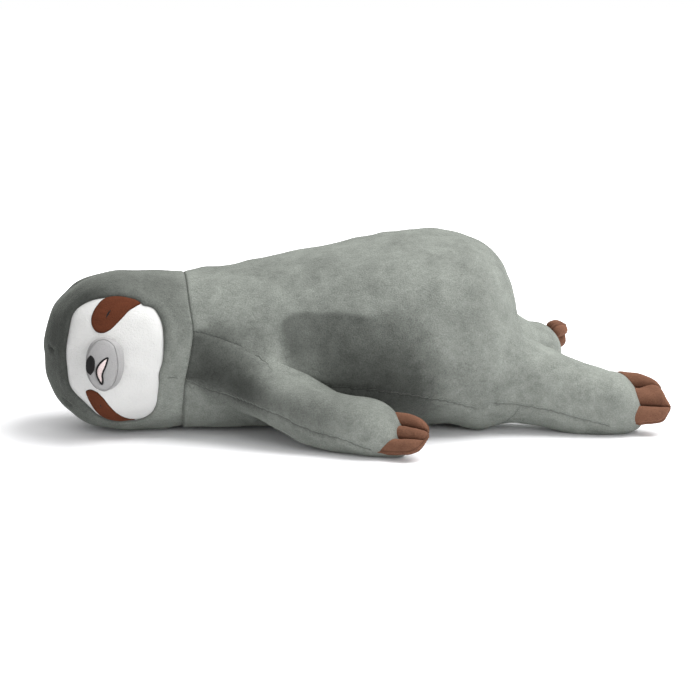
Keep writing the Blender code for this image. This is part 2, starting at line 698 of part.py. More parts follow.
def build_head():
    """The hood, the pale face panel set into it, and the stuffing behind them."""
    near, far = -head_half_depth - muzzle_height - overrun, -head_half_depth * face_depth_share
    room = as_cutter(add_object("head_room", head_form(fabric, past_neck=overrun)))
    pivot = (neck_x, 0, neck_height)
    hood = boolean(add_object("hood", head_form(0.0), pivot), "DIFFERENCE", room)
    boolean(hood, "DIFFERENCE", prism("face_opening", face_outline(gap), near, far))
    face = boolean(add_object("face_panel", head_form(0.0), pivot), "DIFFERENCE", room)
    boolean(face, "INTERSECT", prism("face_edge", face_outline(), near, far))
    stuffing = add_object("head_stuffing", head_form(fabric + gap), pivot)
    for obj, kind in ((hood, "head"), (face, "face"), (stuffing, "stuffing")):
        finish(obj, kind)
    over_face = as_cutter(add_object("over_face", head_form(-gap)))
    over_patch = as_cutter(add_object("over_patch", head_form(-gap - patch_thick - gap)))
    muzzle_clear = as_cutter(add_object("muzzle_clear", muzzle_form(-gap)))
    for side, name in ((-1, "upper"), (1, "lower")):
        patch = add_object(f"{name}_eye_patch", head_form(-gap - patch_thick), pivot)
        boolean(patch, "INTERSECT", prism(f"{name}_patch_edge", patch_outline(side), near, far))
        boolean(patch, "INTERSECT", prism(f"{name}_patch_limit", face_outline(-gap), near, far))
        boolean(patch, "DIFFERENCE", over_face)
        boolean(patch, "DIFFERENCE", muzzle_clear)
        finish(patch, "brown")
        start = Vector((face_x - patch_start, face_z - side * patch_start_side))
        lean = math.radians(eye_lean_deg)
        along = Vector((math.cos(lean), -side * math.sin(lean)))
        eye = add_object(f"{name}_eye", head_form(-2 * gap - patch_thick - eye_thick), pivot)
        edge = lens(start + Vector((eye_offset, 0)), along, eye_half_length, eye_half_width)
        boolean(eye, "INTERSECT", prism(f"{name}_eye_edge", edge, near, far))
        boolean(eye, "DIFFERENCE", over_patch)
        finish(eye, "thread")
    muzzle = boolean(add_object("muzzle_cover", muzzle_form(0.0), pivot), "DIFFERENCE", over_face)
    stuff_room = as_cutter(add_object("muzzle_room", muzzle_form(fabric)))
    boolean(muzzle, "DIFFERENCE", stuff_room)
    stuffed = add_object("muzzle_stuffing", muzzle_form(fabric + gap), pivot)
    boolean(stuffed, "DIFFERENCE", over_face)
    finish(muzzle, "muzzle")
    finish(stuffed, "stuffing")
    over_muzzle = as_cutter(add_object("over_muzzle", muzzle_form(-gap)))
    muzzle_x, front = face_x - muzzle_up, -head_half_depth - fabric
    nose_edge = lens(Vector((muzzle_x - nose_up, face_z)), Vector((0, 1)), nose_half_width, nose_half_length)
    mouth_outer, mouth_inner = mouth_outline(0.0), mouth_outline(mouth_line)
    nose = add_object("nose", muzzle_form(-gap - nose_thick), pivot)
    boolean(nose, "INTERSECT", prism("nose_edge", nose_edge, near, front))
    line = add_object("mouth_line", muzzle_form(-gap - mouth_thick), pivot)
    boolean(line, "INTERSECT", prism("mouth_edge", mouth_outer, near, front))
    boolean(line, "DIFFERENCE", prism("mouth_window", mouth_inner, near, -head_half_depth))
    lip = add_object("mouth", muzzle_form(-gap - mouth_thick), pivot)
    mouth_fill = mouth_outline(mouth_line + gap)
    boolean(lip, "INTERSECT", prism("mouth_fill_edge", mouth_fill, near, front))
    for obj, kind in ((nose, "thread"), (line, "thread"), (lip, "pink")):
        boolean(obj, "DIFFERENCE", over_muzzle)
        finish(obj, kind)


def centre_on_origin():
    """Moves everything so that the part stands centred over the origin, and prints the joints' places."""
    graph = bpy.context.evaluated_depsgraph_get()
    low, high = np.full(3, np.inf), np.full(3, -np.inf)
    for obj in bpy.data.objects:
        if obj.hide_render:
            continue
        shape = obj.evaluated_get(graph)
        mesh = shape.to_mesh()
        points = np.empty(3 * len(mesh.vertices))
        mesh.vertices.foreach_get("co", points)
        world = points.reshape(-1, 3) + np.array(shape.matrix_world.translation)
        low, high = np.minimum(low, world.min(axis=0)), np.maximum(high, world.max(axis=0))
        shape.to_mesh_clear()
    shift = Vector((-(low[0] + high[0]) / 2, -(low[1] + high[1]) / 2, -low[2]))
    for obj in bpy.data.objects:
        obj.location += shift
    print("size", [round(float(v), 4) for v in high - low], "shift", [round(v, 5) for v in shift])
    print("neck", [round(v, 5) for v in Vector((neck_x, 0, neck_height)) + shift])
    for kind in ("arm", "leg"):
        for side, label in ((-1, "left"), (1, "right")):
            joint = limb_plan(kind, side)[0] + shift
            line, _, across, _ = paw_plan(kind, side)
            print(label, kind, [round(v, 5) for v in joint])
            print(label, kind, "claws", [round(v, 5) for v in line + shift], [round(v, 5) for v in across])


clear_scene()
build_body()
build_head()
for side_sign, side_name in ((-1, "left"), (1, "right")):
    build_limb("arm", side_sign, f"{side_name}_arm", f"{side_name}_hand")
    build_limb("leg", side_sign, f"{side_name}_leg", f"{side_name}_foot")
    build_claws("arm", side_sign, f"{side_name}_hand")
    build_claws("leg", side_sign, f"{side_name}_foot")
bpy.context.view_layer.update()
centre_on_origin()
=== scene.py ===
# A plush sloth pillow that lies on its belly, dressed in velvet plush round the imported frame.
# Every size here is in millimetres, and meshes are made in metres.
import json

import bpy
import numpy as np
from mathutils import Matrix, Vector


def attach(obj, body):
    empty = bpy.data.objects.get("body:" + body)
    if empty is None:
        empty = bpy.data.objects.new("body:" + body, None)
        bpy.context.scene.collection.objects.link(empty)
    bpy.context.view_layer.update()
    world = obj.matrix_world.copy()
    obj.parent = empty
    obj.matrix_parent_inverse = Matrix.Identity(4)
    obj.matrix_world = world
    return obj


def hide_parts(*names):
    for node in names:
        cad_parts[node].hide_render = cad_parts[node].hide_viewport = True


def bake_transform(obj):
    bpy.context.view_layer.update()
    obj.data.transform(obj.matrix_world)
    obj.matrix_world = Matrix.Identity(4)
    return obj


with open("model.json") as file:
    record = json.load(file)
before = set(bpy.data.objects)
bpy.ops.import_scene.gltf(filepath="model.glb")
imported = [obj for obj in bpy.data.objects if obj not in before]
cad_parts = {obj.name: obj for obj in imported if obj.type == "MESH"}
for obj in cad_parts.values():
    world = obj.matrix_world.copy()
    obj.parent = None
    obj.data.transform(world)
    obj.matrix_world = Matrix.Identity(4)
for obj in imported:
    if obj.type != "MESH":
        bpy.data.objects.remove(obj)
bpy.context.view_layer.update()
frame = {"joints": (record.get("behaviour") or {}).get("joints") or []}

unit = 0.001
joints = {joint["name"]: joint for joint in frame["joints"]}
upright = np.array([0.0, 0.0, 1.0])
alongX = np.array([1.0, 0.0, 0.0])
alongY = np.array([0.0, 1.0, 0.0])


def jointPlace(name):
    # a joint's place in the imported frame, in millimetres
    return np.array(joints[name]["pos_m"]) / unit


neck = jointPlace("head_turn")
fromNeck = neck * (1, 0, 0)      # places on the cloth are measured along X from the neck

# Shapes

floorSink = 0.5             # how far the forms' undersides reach below the floor before they are laid flat on it
tiny = 0.01                 # keeps a size or a distance off nought
neckSeam = {
    "halfWidth": 88, "halfHeight": 90.5, "rise": 3,
    "roll": 3.5, "pinch": 0.978,            # over its last roll the cloth narrows to this share of its size
    "heights": (0, 45, 72, 100, 128, 160, 200), "lean": (-6, -6, -4.5, 1, 5, 1.5, 0), "fade": 35, "lineDarkness": 0.6,
    "plug": 9, "plugPower": 8,      # how far the body's end bulges into the head, so no slot opens when it turns
}
torso = {
    "length": 392, "halfWidth": 134, "halfHeight": 114,
    "endRound": 122, "tallPower": 3.1, "widePower": 2.9,        # how squarely the rump rounds off
    "powers": (2.15, 2.7),                                      # how square the back and the belly are
    "swellPlaces": (0, 0.18, 0.32, 0.47, 0.61, 0.71, 1), "swell": (0, 0.24, 0.46, 0.73, 0.95, 1, 1),
    "settle": 0.71,             # the share of its swelling at which it lies on the floor
    "rings": 285, "sides": 340,
    "softness": 1.5,            # how far the soft form sinks where it lies
}
head = {
    "length": 166.5, "halfWidth": 84, "halfHeight": 94, "endRound": 96,
    "tallPower": 2.1, "widePower": 2.3, "powers": (2.2, 2.2),
    "swellPlaces": (0, 0.20, 0.46, 1), "swell": (0, 0.7, 1, 1),
    "rings": 170, "sides": 420,
}
arm = {
    "reach": 154, "round": 60, "back": 34,          # from the joint to the rounded end, its length, and behind
    "wide": (37, 33, 37), "tall": (37, 33, 32),     # half sizes at the root, the middle and the paw
    "rootHeight": 80, "lift": 0, "ease": 0.66, "bow": 10, "droop": 0.9, "endPower": 2.15,
    "fillet": 30, "keepFrom": 78, "keepTo": 150,    # how it is rounded into the body, and where that fades
    "rings": 150, "sides": 150,
}
leg = {
    "reach": 146, "round": 38, "back": 42,
    "wide": (45, 38.5, 39), "tall": (62, 47, 35.5),
    "rootHeight": 69, "lift": 0, "ease": 1, "bow": 0, "droop": 0.6, "endPower": 2.2,
    "fillet": 44, "keepFrom": 90, "keepTo": 165,
    "rings": 150, "sides": 180,
}
farLeg = dict(leg, lift=14, rootHeight=84, tall=(68, 50, 35.5), droop=0.8)
limbPowers = (2.2, 2.2)
pawFlare = 1.3              # how late a limb grows to its paw's size
blend = (5, 100)            # two distances from a limb's joint, whose places are passed along with its cloth but not used


def smoothTable(places, values, at):
    # a cubic curve through the stations, whose slope at each comes from its neighbours
    places, values = np.asarray(places, float), np.asarray(values, float)
    slopes = np.gradient(values, places)
    k = np.clip(np.searchsorted(places, at) - 1, 0, len(places) - 2)
    step = places[k + 1] - places[k]
    t = (at - places[k]) / step
    rise = (2 * t**3 - 3 * t**2 + 1) * values[k] + (3 * t**2 - 2 * t**3) * values[k + 1]
    return rise + step * ((t**3 - 2 * t**2 + t) * slopes[k] + (t**3 - t**2) * slopes[k + 1])


def smoothStep(value, low, high):
    # 0 below low, 1 above high, and a smooth turn between
    t = np.clip((value - low) / (high - low), 0, 1)
    return t * t * (3 - 2 * t)


def dome(distance, length, power):
    # the share of full size at a distance from a rounded end: (1 - (1 - distance / length)^p)^(1 / p)
    share = np.clip((length - distance) / length, 0, 1)
    return np.maximum(1 - share**power, 0) ** (1 / power)


def bell(distance):
    # 1 at nought, dying away at both sides: e^-distance^2
    return np.exp(-(distance**2))


def bodySection(form, u):
    # centre height, half width and half height of the body or head at a distance u from the neck: they grow from the
    # neck's by a table of swelling and end in a dome
    swell = smoothTable(form["swellPlaces"], form["swell"], np.clip(u / form["length"], 0, 1))
    tall = neckSeam["halfHeight"] + (form["halfHeight"] - neckSeam["halfHeight"]) * swell
    wide = neckSeam["halfWidth"] + (form["halfWidth"] - neckSeam["halfWidth"]) * swell
    settled = np.minimum(swell / form["settle"], 1) if "settle" in form else swell
    height = neckSeam["rise"] * (1 - settled) - floorSink * settled + tall
    pinch = neckSeam["pinch"] + (1 - neckSeam["pinch"]) * dome(u, neckSeam["roll"], 2)
    end = form["length"] - u
    wide = wide * dome(end, form["endRound"], form["widePower"]) * pinch
    tall = tall * dome(end, form["endRound"], form["tallPower"]) * pinch
    return height, wide, tall


def limbSection(limb, s):
    # centre height, sideways bow, half width and half height of a limb at a distance s from its joint: from the
    # root's to the middle's in a line, on to the paw's in a curve, and domes at the ends
    share = np.clip(s / limb["reach"], 0, 1)
    waist = np.minimum(2 * share, 1)
    grow = np.maximum(2 * share - 1, 0) ** pawFlare
    end = dome(limb["reach"] + limb["round"] - s, limb["round"], limb["endPower"])
    size = end * dome(s + limb["back"], limb["back"], 2)
    endHeight = limb["tall"][2] - floorSink + limb["lift"]
    fall = share ** limb["ease"]
    height = limb["rootHeight"] + (endHeight - limb["rootHeight"]) * fall**2 * (3 - 2 * fall)
    height = height - limb["droop"] * limb["tall"][2] * (1 - end)
    wide, tall = ((root + (middle - root) * waist + (paw - middle) * grow) * size
                  for root, middle, paw in (limb["wide"], limb["tall"]))
    return height, limb["bow"] * np.sin(np.pi * share), wide, tall


def limbWays(name, side):
    # a limb's joint, its level way to its claws' joint, and its way outwards
    joint = jointPlace(f"{name}_swing")
    claws = jointPlace(f"{name.replace('arm', 'hand').replace('leg', 'foot')}_claws_flex")
    ahead = (claws - joint) * (1, 1, 0)
    ahead = ahead / np.linalg.norm(ahead)
    return joint, ahead, np.array([-ahead[1], ahead[0], 0]) * side


def ovalDistance(across, up, wide, tall, powers):
    # how far a point lies outside an oval, along the line to its centre: distance * (1 - 1 / (x^p + y^p)^(1 / p))
    power = np.where(up >= 0, *powers)
    x, y = np.abs(across / np.maximum(wide, 0.001)), np.abs(up / np.maximum(tall, 0.001))
    return np.hypot(across, up) * (1 - 1 / np.maximum((x**power + y**power) ** (1 / power), 0.001))


def torsoDistance(points):
    # how far points lie outside the body: the most of the distances past its oval and past its ends
    u = points[..., 0] - neck[0]
    height, wide, tall = bodySection(torso, np.clip(u, 0, torso["length"] - tiny))
    apart = ovalDistance(points[..., 1], points[..., 2] - height, wide, tall, torso["powers"])
    return np.maximum(apart, np.maximum(-u, u - torso["length"]))


def limbDistance(points, limb, ways):
    # the same for a limb
    joint, ahead, across = ways
    s = (points - joint) @ ahead
    start, end = -limb["back"], limb["reach"] + limb["round"]
    height, bow, wide, tall = limbSection(limb, np.clip(s, start + tiny, end - tiny))
    apart = ovalDistance((points - joint) @ across - bow, points[..., 2] - height, wide, tall, limbPowers)
    return np.maximum(apart, np.maximum(start - s, s - end))


def evenStations(radiusAt, low, high, count):
    # stations spaced evenly along a form's outline, flat ends too, and the share of full size at each
    fine = low + (high - low) * (1 - np.cos(np.linspace(0, np.pi, 6001))) / 2
    radius = radiusAt(fine)
    share = radius / np.maximum(radius, 0.001)
    radius[[0, -1]] = share[[0, -1]] = 0
    length = np.concatenate([[0], np.cumsum(np.hypot(np.diff(fine), np.diff(radius)))])
    at = (np.arange(count) + 0.5) / count * length[-1]
    return np.interp(at, length, fine), np.interp(at, length, share)


def ringAngles(count):
    # even steps round a ring
    return np.arange(count) * 2 * np.pi / count


def loft(centre, side, up, wide, tall, powers, count):
    # a ring at each station, whose radius in a direction is (|cos / wide|^p + |sin / tall|^p)^(-1 / p)
    c, s = np.cos(ringAngles(count)), np.sin(ringAngles(count))
    power = np.where(s >= 0, *powers)
    radius = (np.abs(c / wide[:, None]) ** power + np.abs(s / tall[:, None]) ** power) ** (-1 / power)
    return centre[:, None, :] + side * (radius * c)[..., None] + up * (radius * s)[..., None]


def gridNormals(points):
    # the cross product of the grid's differences along and round it, pointing outwards
    normal = np.cross(np.gradient(points, axis=0), np.roll(points, -1, 1) - np.roll(points, 1, 1))
    normal /= np.maximum(np.linalg.norm(normal, axis=2, keepdims=True), 1e-9)
    outward = (normal * (points - points.mean(axis=1, keepdims=True))).sum()
    return normal * np.sign(outward)


def pushed(points, shift):
    # points moved out along their normals by a shift
    return points + gridNormals(points) * shift[..., None]


noSeam = 50.0           # the distance to a seam that cloth with no seam near is given


def newObject(name, data):
    # an object linked into the scene
    obj = bpy.data.objects.new(name, data)
    bpy.context.collection.objects.link(obj)
    return obj


def addMesh(name, points, faces, values, material):
    # links a mesh that keeps its resting places and other values as attributes of its points
    mesh = bpy.data.meshes.new(name)
    mesh.from_pydata((points * unit).tolist(), [], faces)
    places = mesh.attributes.new("restPlace", "FLOAT_VECTOR", "POINT")
    places.data.foreach_set("vector", (points * unit).astype(np.float32).ravel())
    for key, value in {"seam": np.full(len(points), noSeam), "shadeAndNap": np.ones(len(points)), **values}.items():
        layer = mesh.attributes.new(key, "FLOAT", "POINT")
        layer.data.foreach_set("value", np.asarray(value, np.float32).ravel())
    mesh.shade_smooth()
    mesh.materials.append(material)
    mesh.validate()
    return newObject(name, mesh)


def gridMesh(name, points, values, material, closedRows):
    # a closed skin over a grid of rings, with a point at each end, or its last ring joined to its first
    rows, sides = points.shape[:2]
    index = np.arange(rows * sides).reshape(rows, sides)
    nextRow = np.roll(index, -1, 0) if closedRows else index[1:]
    thisRow = index if closedRows else index[:-1]
    around = lambda a: np.roll(a, -1, 1)
    quads = np.stack([thisRow, around(thisRow), around(nextRow), nextRow], -1).reshape(-1, 4)
    flat = points.reshape(-1, 3)
    flatValues = {key: np.broadcast_to(value, (rows, sides)).ravel() for key, value in values.items()}
    faces = quads.tolist()
    if not closedRows:
        poles = np.stack([points[0].mean(0), points[-1].mean(0)])
        flat = np.concatenate([flat, poles])
        flatValues = {key: np.append(value, [value[:sides].mean(), value[-sides:].mean()])
                      for key, value in flatValues.items()}
        start = np.stack([np.roll(index[0], -1), index[0], np.full(sides, rows * sides)], -1)
        end = np.stack([index[-1], np.roll(index[-1], -1), np.full(sides, rows * sides + 1)], -1)
        faces += start.tolist() + end.tolist()
    a, b, c = (flat[quads[:, k]] for k in (0, 1, 2))
    if (a * np.cross(b, c)).sum() + (a * np.cross(c, flat[quads[:, 3]])).sum() < 0:
        faces = [face[::-1] for face in faces]
    return addMesh(name, flat, faces, flatValues, material)


def softNoise(points, wavelength, seed):
    # the sum of plane waves in seeded directions, about the given wavelength long, from about -1 to 1
    waves = 20
    rng = np.random.default_rng(seed)
    ways = rng.normal(size=(waves, 3))
    ways /= np.linalg.norm(ways, axis=1, keepdims=True)
    turns = 2 * np.pi / (wavelength * rng.uniform(0.7, 1.4, waves))
    starts = rng.uniform(0, 2 * np.pi, waves)
    return sum(np.sin(points @ way * turn + start) for way, turn, start in zip(ways, turns, starts)) * 4 / waves


def smoothPath(path, step):
    # a curve through given points, cut into even steps
    path = np.asarray(path, float)
    along = np.concatenate([[0], np.cumsum(np.linalg.norm(np.diff(path, axis=0), axis=1))])
    at = np.linspace(0, along[-1], max(int(along[-1] / step), 2))
    return np.stack([smoothTable(along, path[:, k], at) for k in range(path.shape[1])], -1)


def besidePath(points, path, reach):
    # which points lie in a path's box, grown by a reach
    return np.all((points > path.min(0) - reach) & (points < path.max(0) + reach), axis=1)


def snapToSurface(path, surface):
    # each point of a path moved to the nearest point of a surface, and how far that is
    near = surface.reshape(-1, 3)
    near = near[besidePath(near, path, 20)]
    apart = ((path[:, None, :] - near[None, :, :]) ** 2).sum(-1)
    return near[apart.argmin(1)], np.sqrt(apart.min(1))


def pathDistance(points, normals, path):
    # the distance to a path's nearest stretch, below zero on its right, and how far along the path that lies
    flat = points.reshape(-1, 3)
    nearest, along, signs = np.full(len(flat), 1e3), np.zeros(len(flat)), np.ones(len(flat))
    chosen = np.nonzero(besidePath(flat, path, 25))[0]
    if len(chosen):
        near, best, where, passed = flat[chosen], nearest[chosen], along[chosen], 0.0
        facing, sign = normals.reshape(-1, 3)[chosen], signs[chosen]
        for a, b in zip(path, path[1:]):
            way = b - a
            length = max(np.linalg.norm(way), 1e-6)
            t = np.clip((near - a) @ way / length**2, 0, 1)
            off = near - a - t[:, None] * way
            apart = np.linalg.norm(off, axis=1)
            closer = apart < best
            side = np.where((off * np.cross(facing, way)).sum(-1) < 0, -1, 1)
            best, where = np.where(closer, apart, best), np.where(closer, passed + t * length, where)
            sign = np.where(closer, side, sign)
            passed += length
        nearest[chosen], along[chosen], signs[chosen] = best, where, sign
    shape = points.shape[:-1]
    return (nearest * signs).reshape(shape), along.reshape(shape)


def closedCurve(outline, count):
    # a closed curve through given points, cut into even steps
    looped = np.array(outline[-3:] + outline + outline[:4], float)
    along = np.concatenate([[0], np.cumsum(np.linalg.norm(np.diff(looped, axis=0), axis=1))])
    at = np.linspace(along[3], along[3 + len(outline)], count, endpoint=False)
    return np.stack([smoothTable(along, looped[:, k], at) for k in (0, 1)], -1)


def outlineDistance(points, curve):
    # the distance from a closed flat curve, below zero inside it
    flat = points.reshape(-1, 2)
    nearest = np.full(len(flat), 1e9)
    crossings = np.zeros(len(flat), bool)
    for a, b in zip(curve, np.roll(curve, -1, 0)):
        way = b - a
        t = np.clip((flat - a) @ way / max(way @ way, 1e-9), 0, 1)
        nearest = np.minimum(nearest, ((flat - a - t[:, None] * way) ** 2).sum(-1))
        if a[1] != b[1]:
            passes = (flat[:, 1] > min(a[1], b[1])) & (flat[:, 1] <= max(a[1], b[1]))
            crossings ^= passes & (flat[:, 0] < a[0] + (flat[:, 1] - a[1]) * way[0] / way[1])
    return (np.sqrt(nearest) * np.where(crossings, -1, 1)).reshape(points.shape[:-1])


def seam(path, width, depth, reach, lineDarkness=1, fadeIn=1, fadeOut=1):
    # a line of stitches through given points: how wide and deep it draws the cloth in, how far off the cloth its
    # points may lie, how bold it looks, and over which lengths its ends fade
    return dict(path=np.array(path, float), width=width, depth=depth, reach=reach, lineDarkness=lineDarkness, fadeIn=fadeIn,
                fadeOut=fadeOut)


# the soft roll at each side of a seam: its share of the valley's depth, and its place and breadth in widths of it
hem = {"share": 0.25, "at": 2.4, "width": 1.3}


def sew(points, seams):
    # draws seams into a form: each is a valley, depth * e^-(distance / width)^2, with its rolls; also gives each
    # point's distance from the nearest seam and place along it, for the line and the puckers
    shift, seamAway, seamAlong = (np.full(points.shape[:2], value) for value in (0.0, noSeam, 0.0))
    normals = gridNormals(points)
    for line in seams:
        path, off = snapToSurface(smoothPath(line["path"] + fromNeck, 2), points)
        path = path[off < line["reach"]]
        if len(path) < 3:
            continue
        away, along = pathDistance(points, normals, path)
        apart = np.abs(away) / line["width"]
        total = np.linalg.norm(np.diff(path, axis=0), axis=1).sum()
        fade = smoothStep(along, 0, line["fadeIn"]) * smoothStep(total - along, 0, line["fadeOut"])
        roll = bell((apart - hem["at"]) / hem["width"])
        shift += fade * line["depth"] * (hem["share"] * roll - bell(apart))
        inked = away / np.maximum(fade * line["lineDarkness"], 0.02)
        nearer = np.abs(inked) < np.abs(seamAway)
        seamAway, seamAlong = np.where(nearer, inked, seamAway), np.where(nearer, along, seamAlong)
    return points + normals * shift[..., None], {"seam": seamAway, "along": seamAlong}


# of the painted shade regions: where along X a region's edge turns soft, how ragged edges get, and where the sides
# face outwards
shadeRegionEdges = {"turn": (130, 200), "ragged": 8, "outward": (40, 75)}


def paintShadeAndNap(points, patches, regions=()):
    # how light the cloth looks by painted shade and light, partly standing in for pile stroked differently:
    # e^(sum of amount * e^-(distance / reach)^2), and e^amount in a region, whose edge is ragged where it is soft;
    # both sides of the body are alike
    beside = points * (1, 0, 1) - np.abs(points) * (0, 1, 0) - fromNeck
    total = sum(amount * np.exp(-(((beside - centre) / reach) ** 2).sum(-1)) for centre, reach, amount in patches)
    for region in regions:
        edge = outlineDistance(beside[..., [0, 2]], closedCurve(region["outline"], 120))
        below = smoothStep(region["above"] - beside[..., 2], 0, 20)
        side = region["left"] + (region["soft"] - region["left"]) * smoothStep(beside[..., 0], *shadeRegionEdges["turn"])
        soft = region["crisp"] + (side - region["crisp"]) * below
        soft = soft + (region["soft"] - soft) * smoothStep(beside[..., 0] - region["right"], 0, 40)
        ragged = np.minimum(soft, shadeRegionEdges["ragged"])
        edge = edge + 0.3 * ragged * softNoise(points, 40, 8) + 0.2 * ragged * softNoise(points, 13, 9)
        outward = smoothStep(-beside[..., 1], *shadeRegionEdges["outward"])
        total = total + region["amount"] * smoothStep(-edge / soft, -1, 1) * outward
    return np.exp(total)


def rest(points, softness):
    # the form sinks a little where it is near the floor, and lies flat on it
    sunk = points[..., 2] - softness * np.exp(-np.maximum(points[..., 2], 0) / 12)
    return np.concatenate([points[..., :2], np.maximum(sunk, 0.2)[..., None]], -1)


def smoothed(field, passes):
    # each value gives way to the mean of itself and its four neighbours on the grid, some times over
    for _ in range(passes):
        rows = np.concatenate([field[:1], field, field[-1:]])
        field = (field + rows[:-2] + rows[2:] + np.roll(field, 1, 1) + np.roll(field, -1, 1)) / 5
    return field


# a weld's steps, the pace of each, the furthest it moves, how deep it sinks past the corner, and its smoothing
welding = {"steps": 7, "pace": 0.8, "most": 0.55, "sink": 2.2, "passes": 8}


def weld(points, ownDistance, otherDistance, radius, keep):
    # moves a form's points out along their normals to the surface that rounds the corner between two forms: the
    # smaller distance less radius / 4 * closeness^2; past the corner's middle they sink under the other
    normal = gridNormals(points)
    shift = np.zeros(points.shape[:2])
    for _ in range(welding["steps"]):
        here = points + normal * shift[..., None]
        own, other = ownDistance(here), otherDistance(here)
        close = np.clip(1 - np.abs(own - other) / radius, 0, 1)
        corner = np.minimum(own, other) - close**2 * radius / 4
        shift = np.clip(shift - welding["pace"] * corner * (close > 0), 0, radius * welding["most"])
    here = points + normal * shift[..., None]
    beyond = ownDistance(here) - otherDistance(here)
    shift = shift * (1 - smoothStep(beyond, radius * 0.3, radius)) - welding["sink"] * smoothStep(beyond, 0.5, 8)
    return points + normal * smoothed(shift * keep, welding["passes"])[..., None]


# Cloth and thread

def linearColour(code, dim=1.0):
    # a colour of the screen to linear light
    parts = [int(code[k:k + 2], 16) / 255 for k in (0, 2, 4)]
    return tuple(dim * (c / 12.92 if c <= 0.04045 else ((c + 0.055) / 1.055) ** 2.4) for c in parts) + (1,)


def node(tree, kind, inputs=None, out=0, **settings):
    # adds a node, sets its fields and then its inputs, each to a value or a link, and gives one of its outputs
    added = tree.nodes.new("ShaderNode" + kind)
    for key, value in settings.items():
        setattr(added, key, value)
    for key, value in (inputs or {}).items():
        if isinstance(value, bpy.types.NodeSocket):
            tree.links.new(value, added.inputs[key])
        else:
            added.inputs[key].default_value = value
    return added.outputs[out] if added.outputs else added


def newMaterial(name):
    # a material with no nodes yet, and its tree
    material = bpy.data.materials.new(name)
    material.use_nodes = True
    material.node_tree.nodes.clear()
    return material, material.node_tree


plush = {
    # of each pattern, its share of the light and dark, breadth in millimetres, detail, roughness and distortion
    "blotch": (1.0, 46, 3.0, 0.55, 0.0),        # broad patches where the pile lies differently
    "mottle": (0.8, 15, 3.0, 0.6, 0.4),         # the small ones inside them
    "brush": (0.6, 5, 4.0, 0.6, 0.6),           # short strokes in the pile
    "grain": (1.4, 1.5, 2.0, 0.6, 0.0),         # single tufts, drawn coarser than real ones so that they show
    "darkAt": 1.4, "lightAt": 2.4,              # the sums that give the darkest and the lightest
    "pileHeight": 0.9, "strokeHeight": 1.2,
    "thread": 0.8, "valley": 1.7, "pucker": 4.0, "pitch": 5.5, "puckerShare": 0.16, "seamDepth": 1.3,   # of a seam
}
thread = {"pitch": 0.42, "height": 0.2, "sides": 36}


def seamBell(tree, away, width):
    # e^-(distance / width)^2, from the distance to the seam in millimetres
    share = node(tree, "Math", {0: away, 1: width}, operation="DIVIDE")
    square = node(tree, "Math", {0: share, 1: share}, operation="MULTIPLY")
    below = node(tree, "Math", {0: square, 1: -1.0}, operation="MULTIPLY")
    return node(tree, "Math", {0: below}, operation="EXPONENT")


def velvetPlush(name, colour, contrast, sheen, seamLineAndCreaseShade=0.45, brush=1.0):
    # short dense pile: matt, brighter at a slant, mottled where stroked, dark in the seams, scaled by painted shade
    # and light
    material, tree = newMaterial(name)
    place = node(tree, "Attribute", out="Vector", attribute_name="restPlace")
    slanted = node(tree, "Mapping", {"Vector": place, "Rotation": (0.3, 0.5, 0.2), "Scale": (0.6, 1.0, 1.0)})
    patterns, total = {}, 0.0
    for pattern in ("blotch", "mottle", "brush", "grain"):
        part, breadth, detail, roughness, distortion = plush[pattern]
        vector, breadth = (slanted, breadth * brush) if pattern == "brush" else (place, breadth)
        patterns[pattern] = node(tree, "TexNoise", {
            "Vector": vector, "Scale": 1 / (breadth * unit), "Detail": detail, "Roughness": roughness,
            "Distortion": distortion})
        total = node(tree, "Math", {0: patterns[pattern], 1: part, 2: total}, operation="MULTIPLY_ADD")
    share = node(tree, "MapRange", {"Value": total, "From Min": plush["darkAt"], "From Max": plush["lightAt"]})
    dark, light = linearColour(colour, 1 - contrast), linearColour(colour, 1 + contrast)
    tone = node(tree, "Mix", {"Factor": share, 6: dark, 7: light}, 2, data_type="RGBA")
    # painted shade and painted light, partly standing in for pile that lies differently, scale the colour
    shadeAndNap = node(tree, "Attribute", out="Fac", attribute_name="shadeAndNap")
    tone = node(tree, "VectorMath", {0: tone, "Scale": shadeAndNap}, operation="SCALE")
    away = node(tree, "Attribute", out="Fac", attribute_name="seam")
    line, valley, roll = (seamBell(tree, away, plush[width]) for width in ("thread", "valley", "pucker"))
    # a dark line at each seam; where a crease or fold is drawn as a seam, this line is painted shade
    inked = node(tree, "Math", {0: line, 1: seamLineAndCreaseShade}, operation="MULTIPLY")
    tone = node(tree, "Mix", {"Factor": inked, 6: tone, 7: linearColour(colour, 0.2)}, 2, data_type="RGBA")
    along = node(tree, "Attribute", out="Fac", attribute_name="along")
    turn = node(tree, "Math", {0: along, 1: 2 * np.pi / plush["pitch"]}, operation="MULTIPLY")
    wave = node(tree, "Math", {0: turn}, operation="SINE")
    puckered = node(tree, "Math", {0: wave, 1: roll}, operation="MULTIPLY")
    low = node(tree, "Math", {0: puckered, 1: plush["puckerShare"]}, operation="MULTIPLY")
    sewn = node(tree, "Math", {0: low, 1: valley}, operation="SUBTRACT")
    normal = node(tree, "Bump", {"Height": sewn, "Strength": 0.8, "Distance": plush["seamDepth"] * unit})
    for pattern, strength, height in (("brush", 0.5, "strokeHeight"), ("grain", 0.9, "pileHeight")):
        normal = node(tree, "Bump", {"Height": patterns[pattern], "Strength": strength,
                                     "Distance": plush[height] * unit, "Normal": normal})
    shader = node(tree, "BsdfPrincipled", {
        "Base Color": tone, "Roughness": 0.95, "Specular IOR Level": 0.15, "Sheen Weight": sheen,
        "Sheen Roughness": 0.4, "Sheen Tint": linearColour(colour, 2.2), "Normal": normal})
    node(tree, "OutputMaterial", {"Surface": shader})
    return material


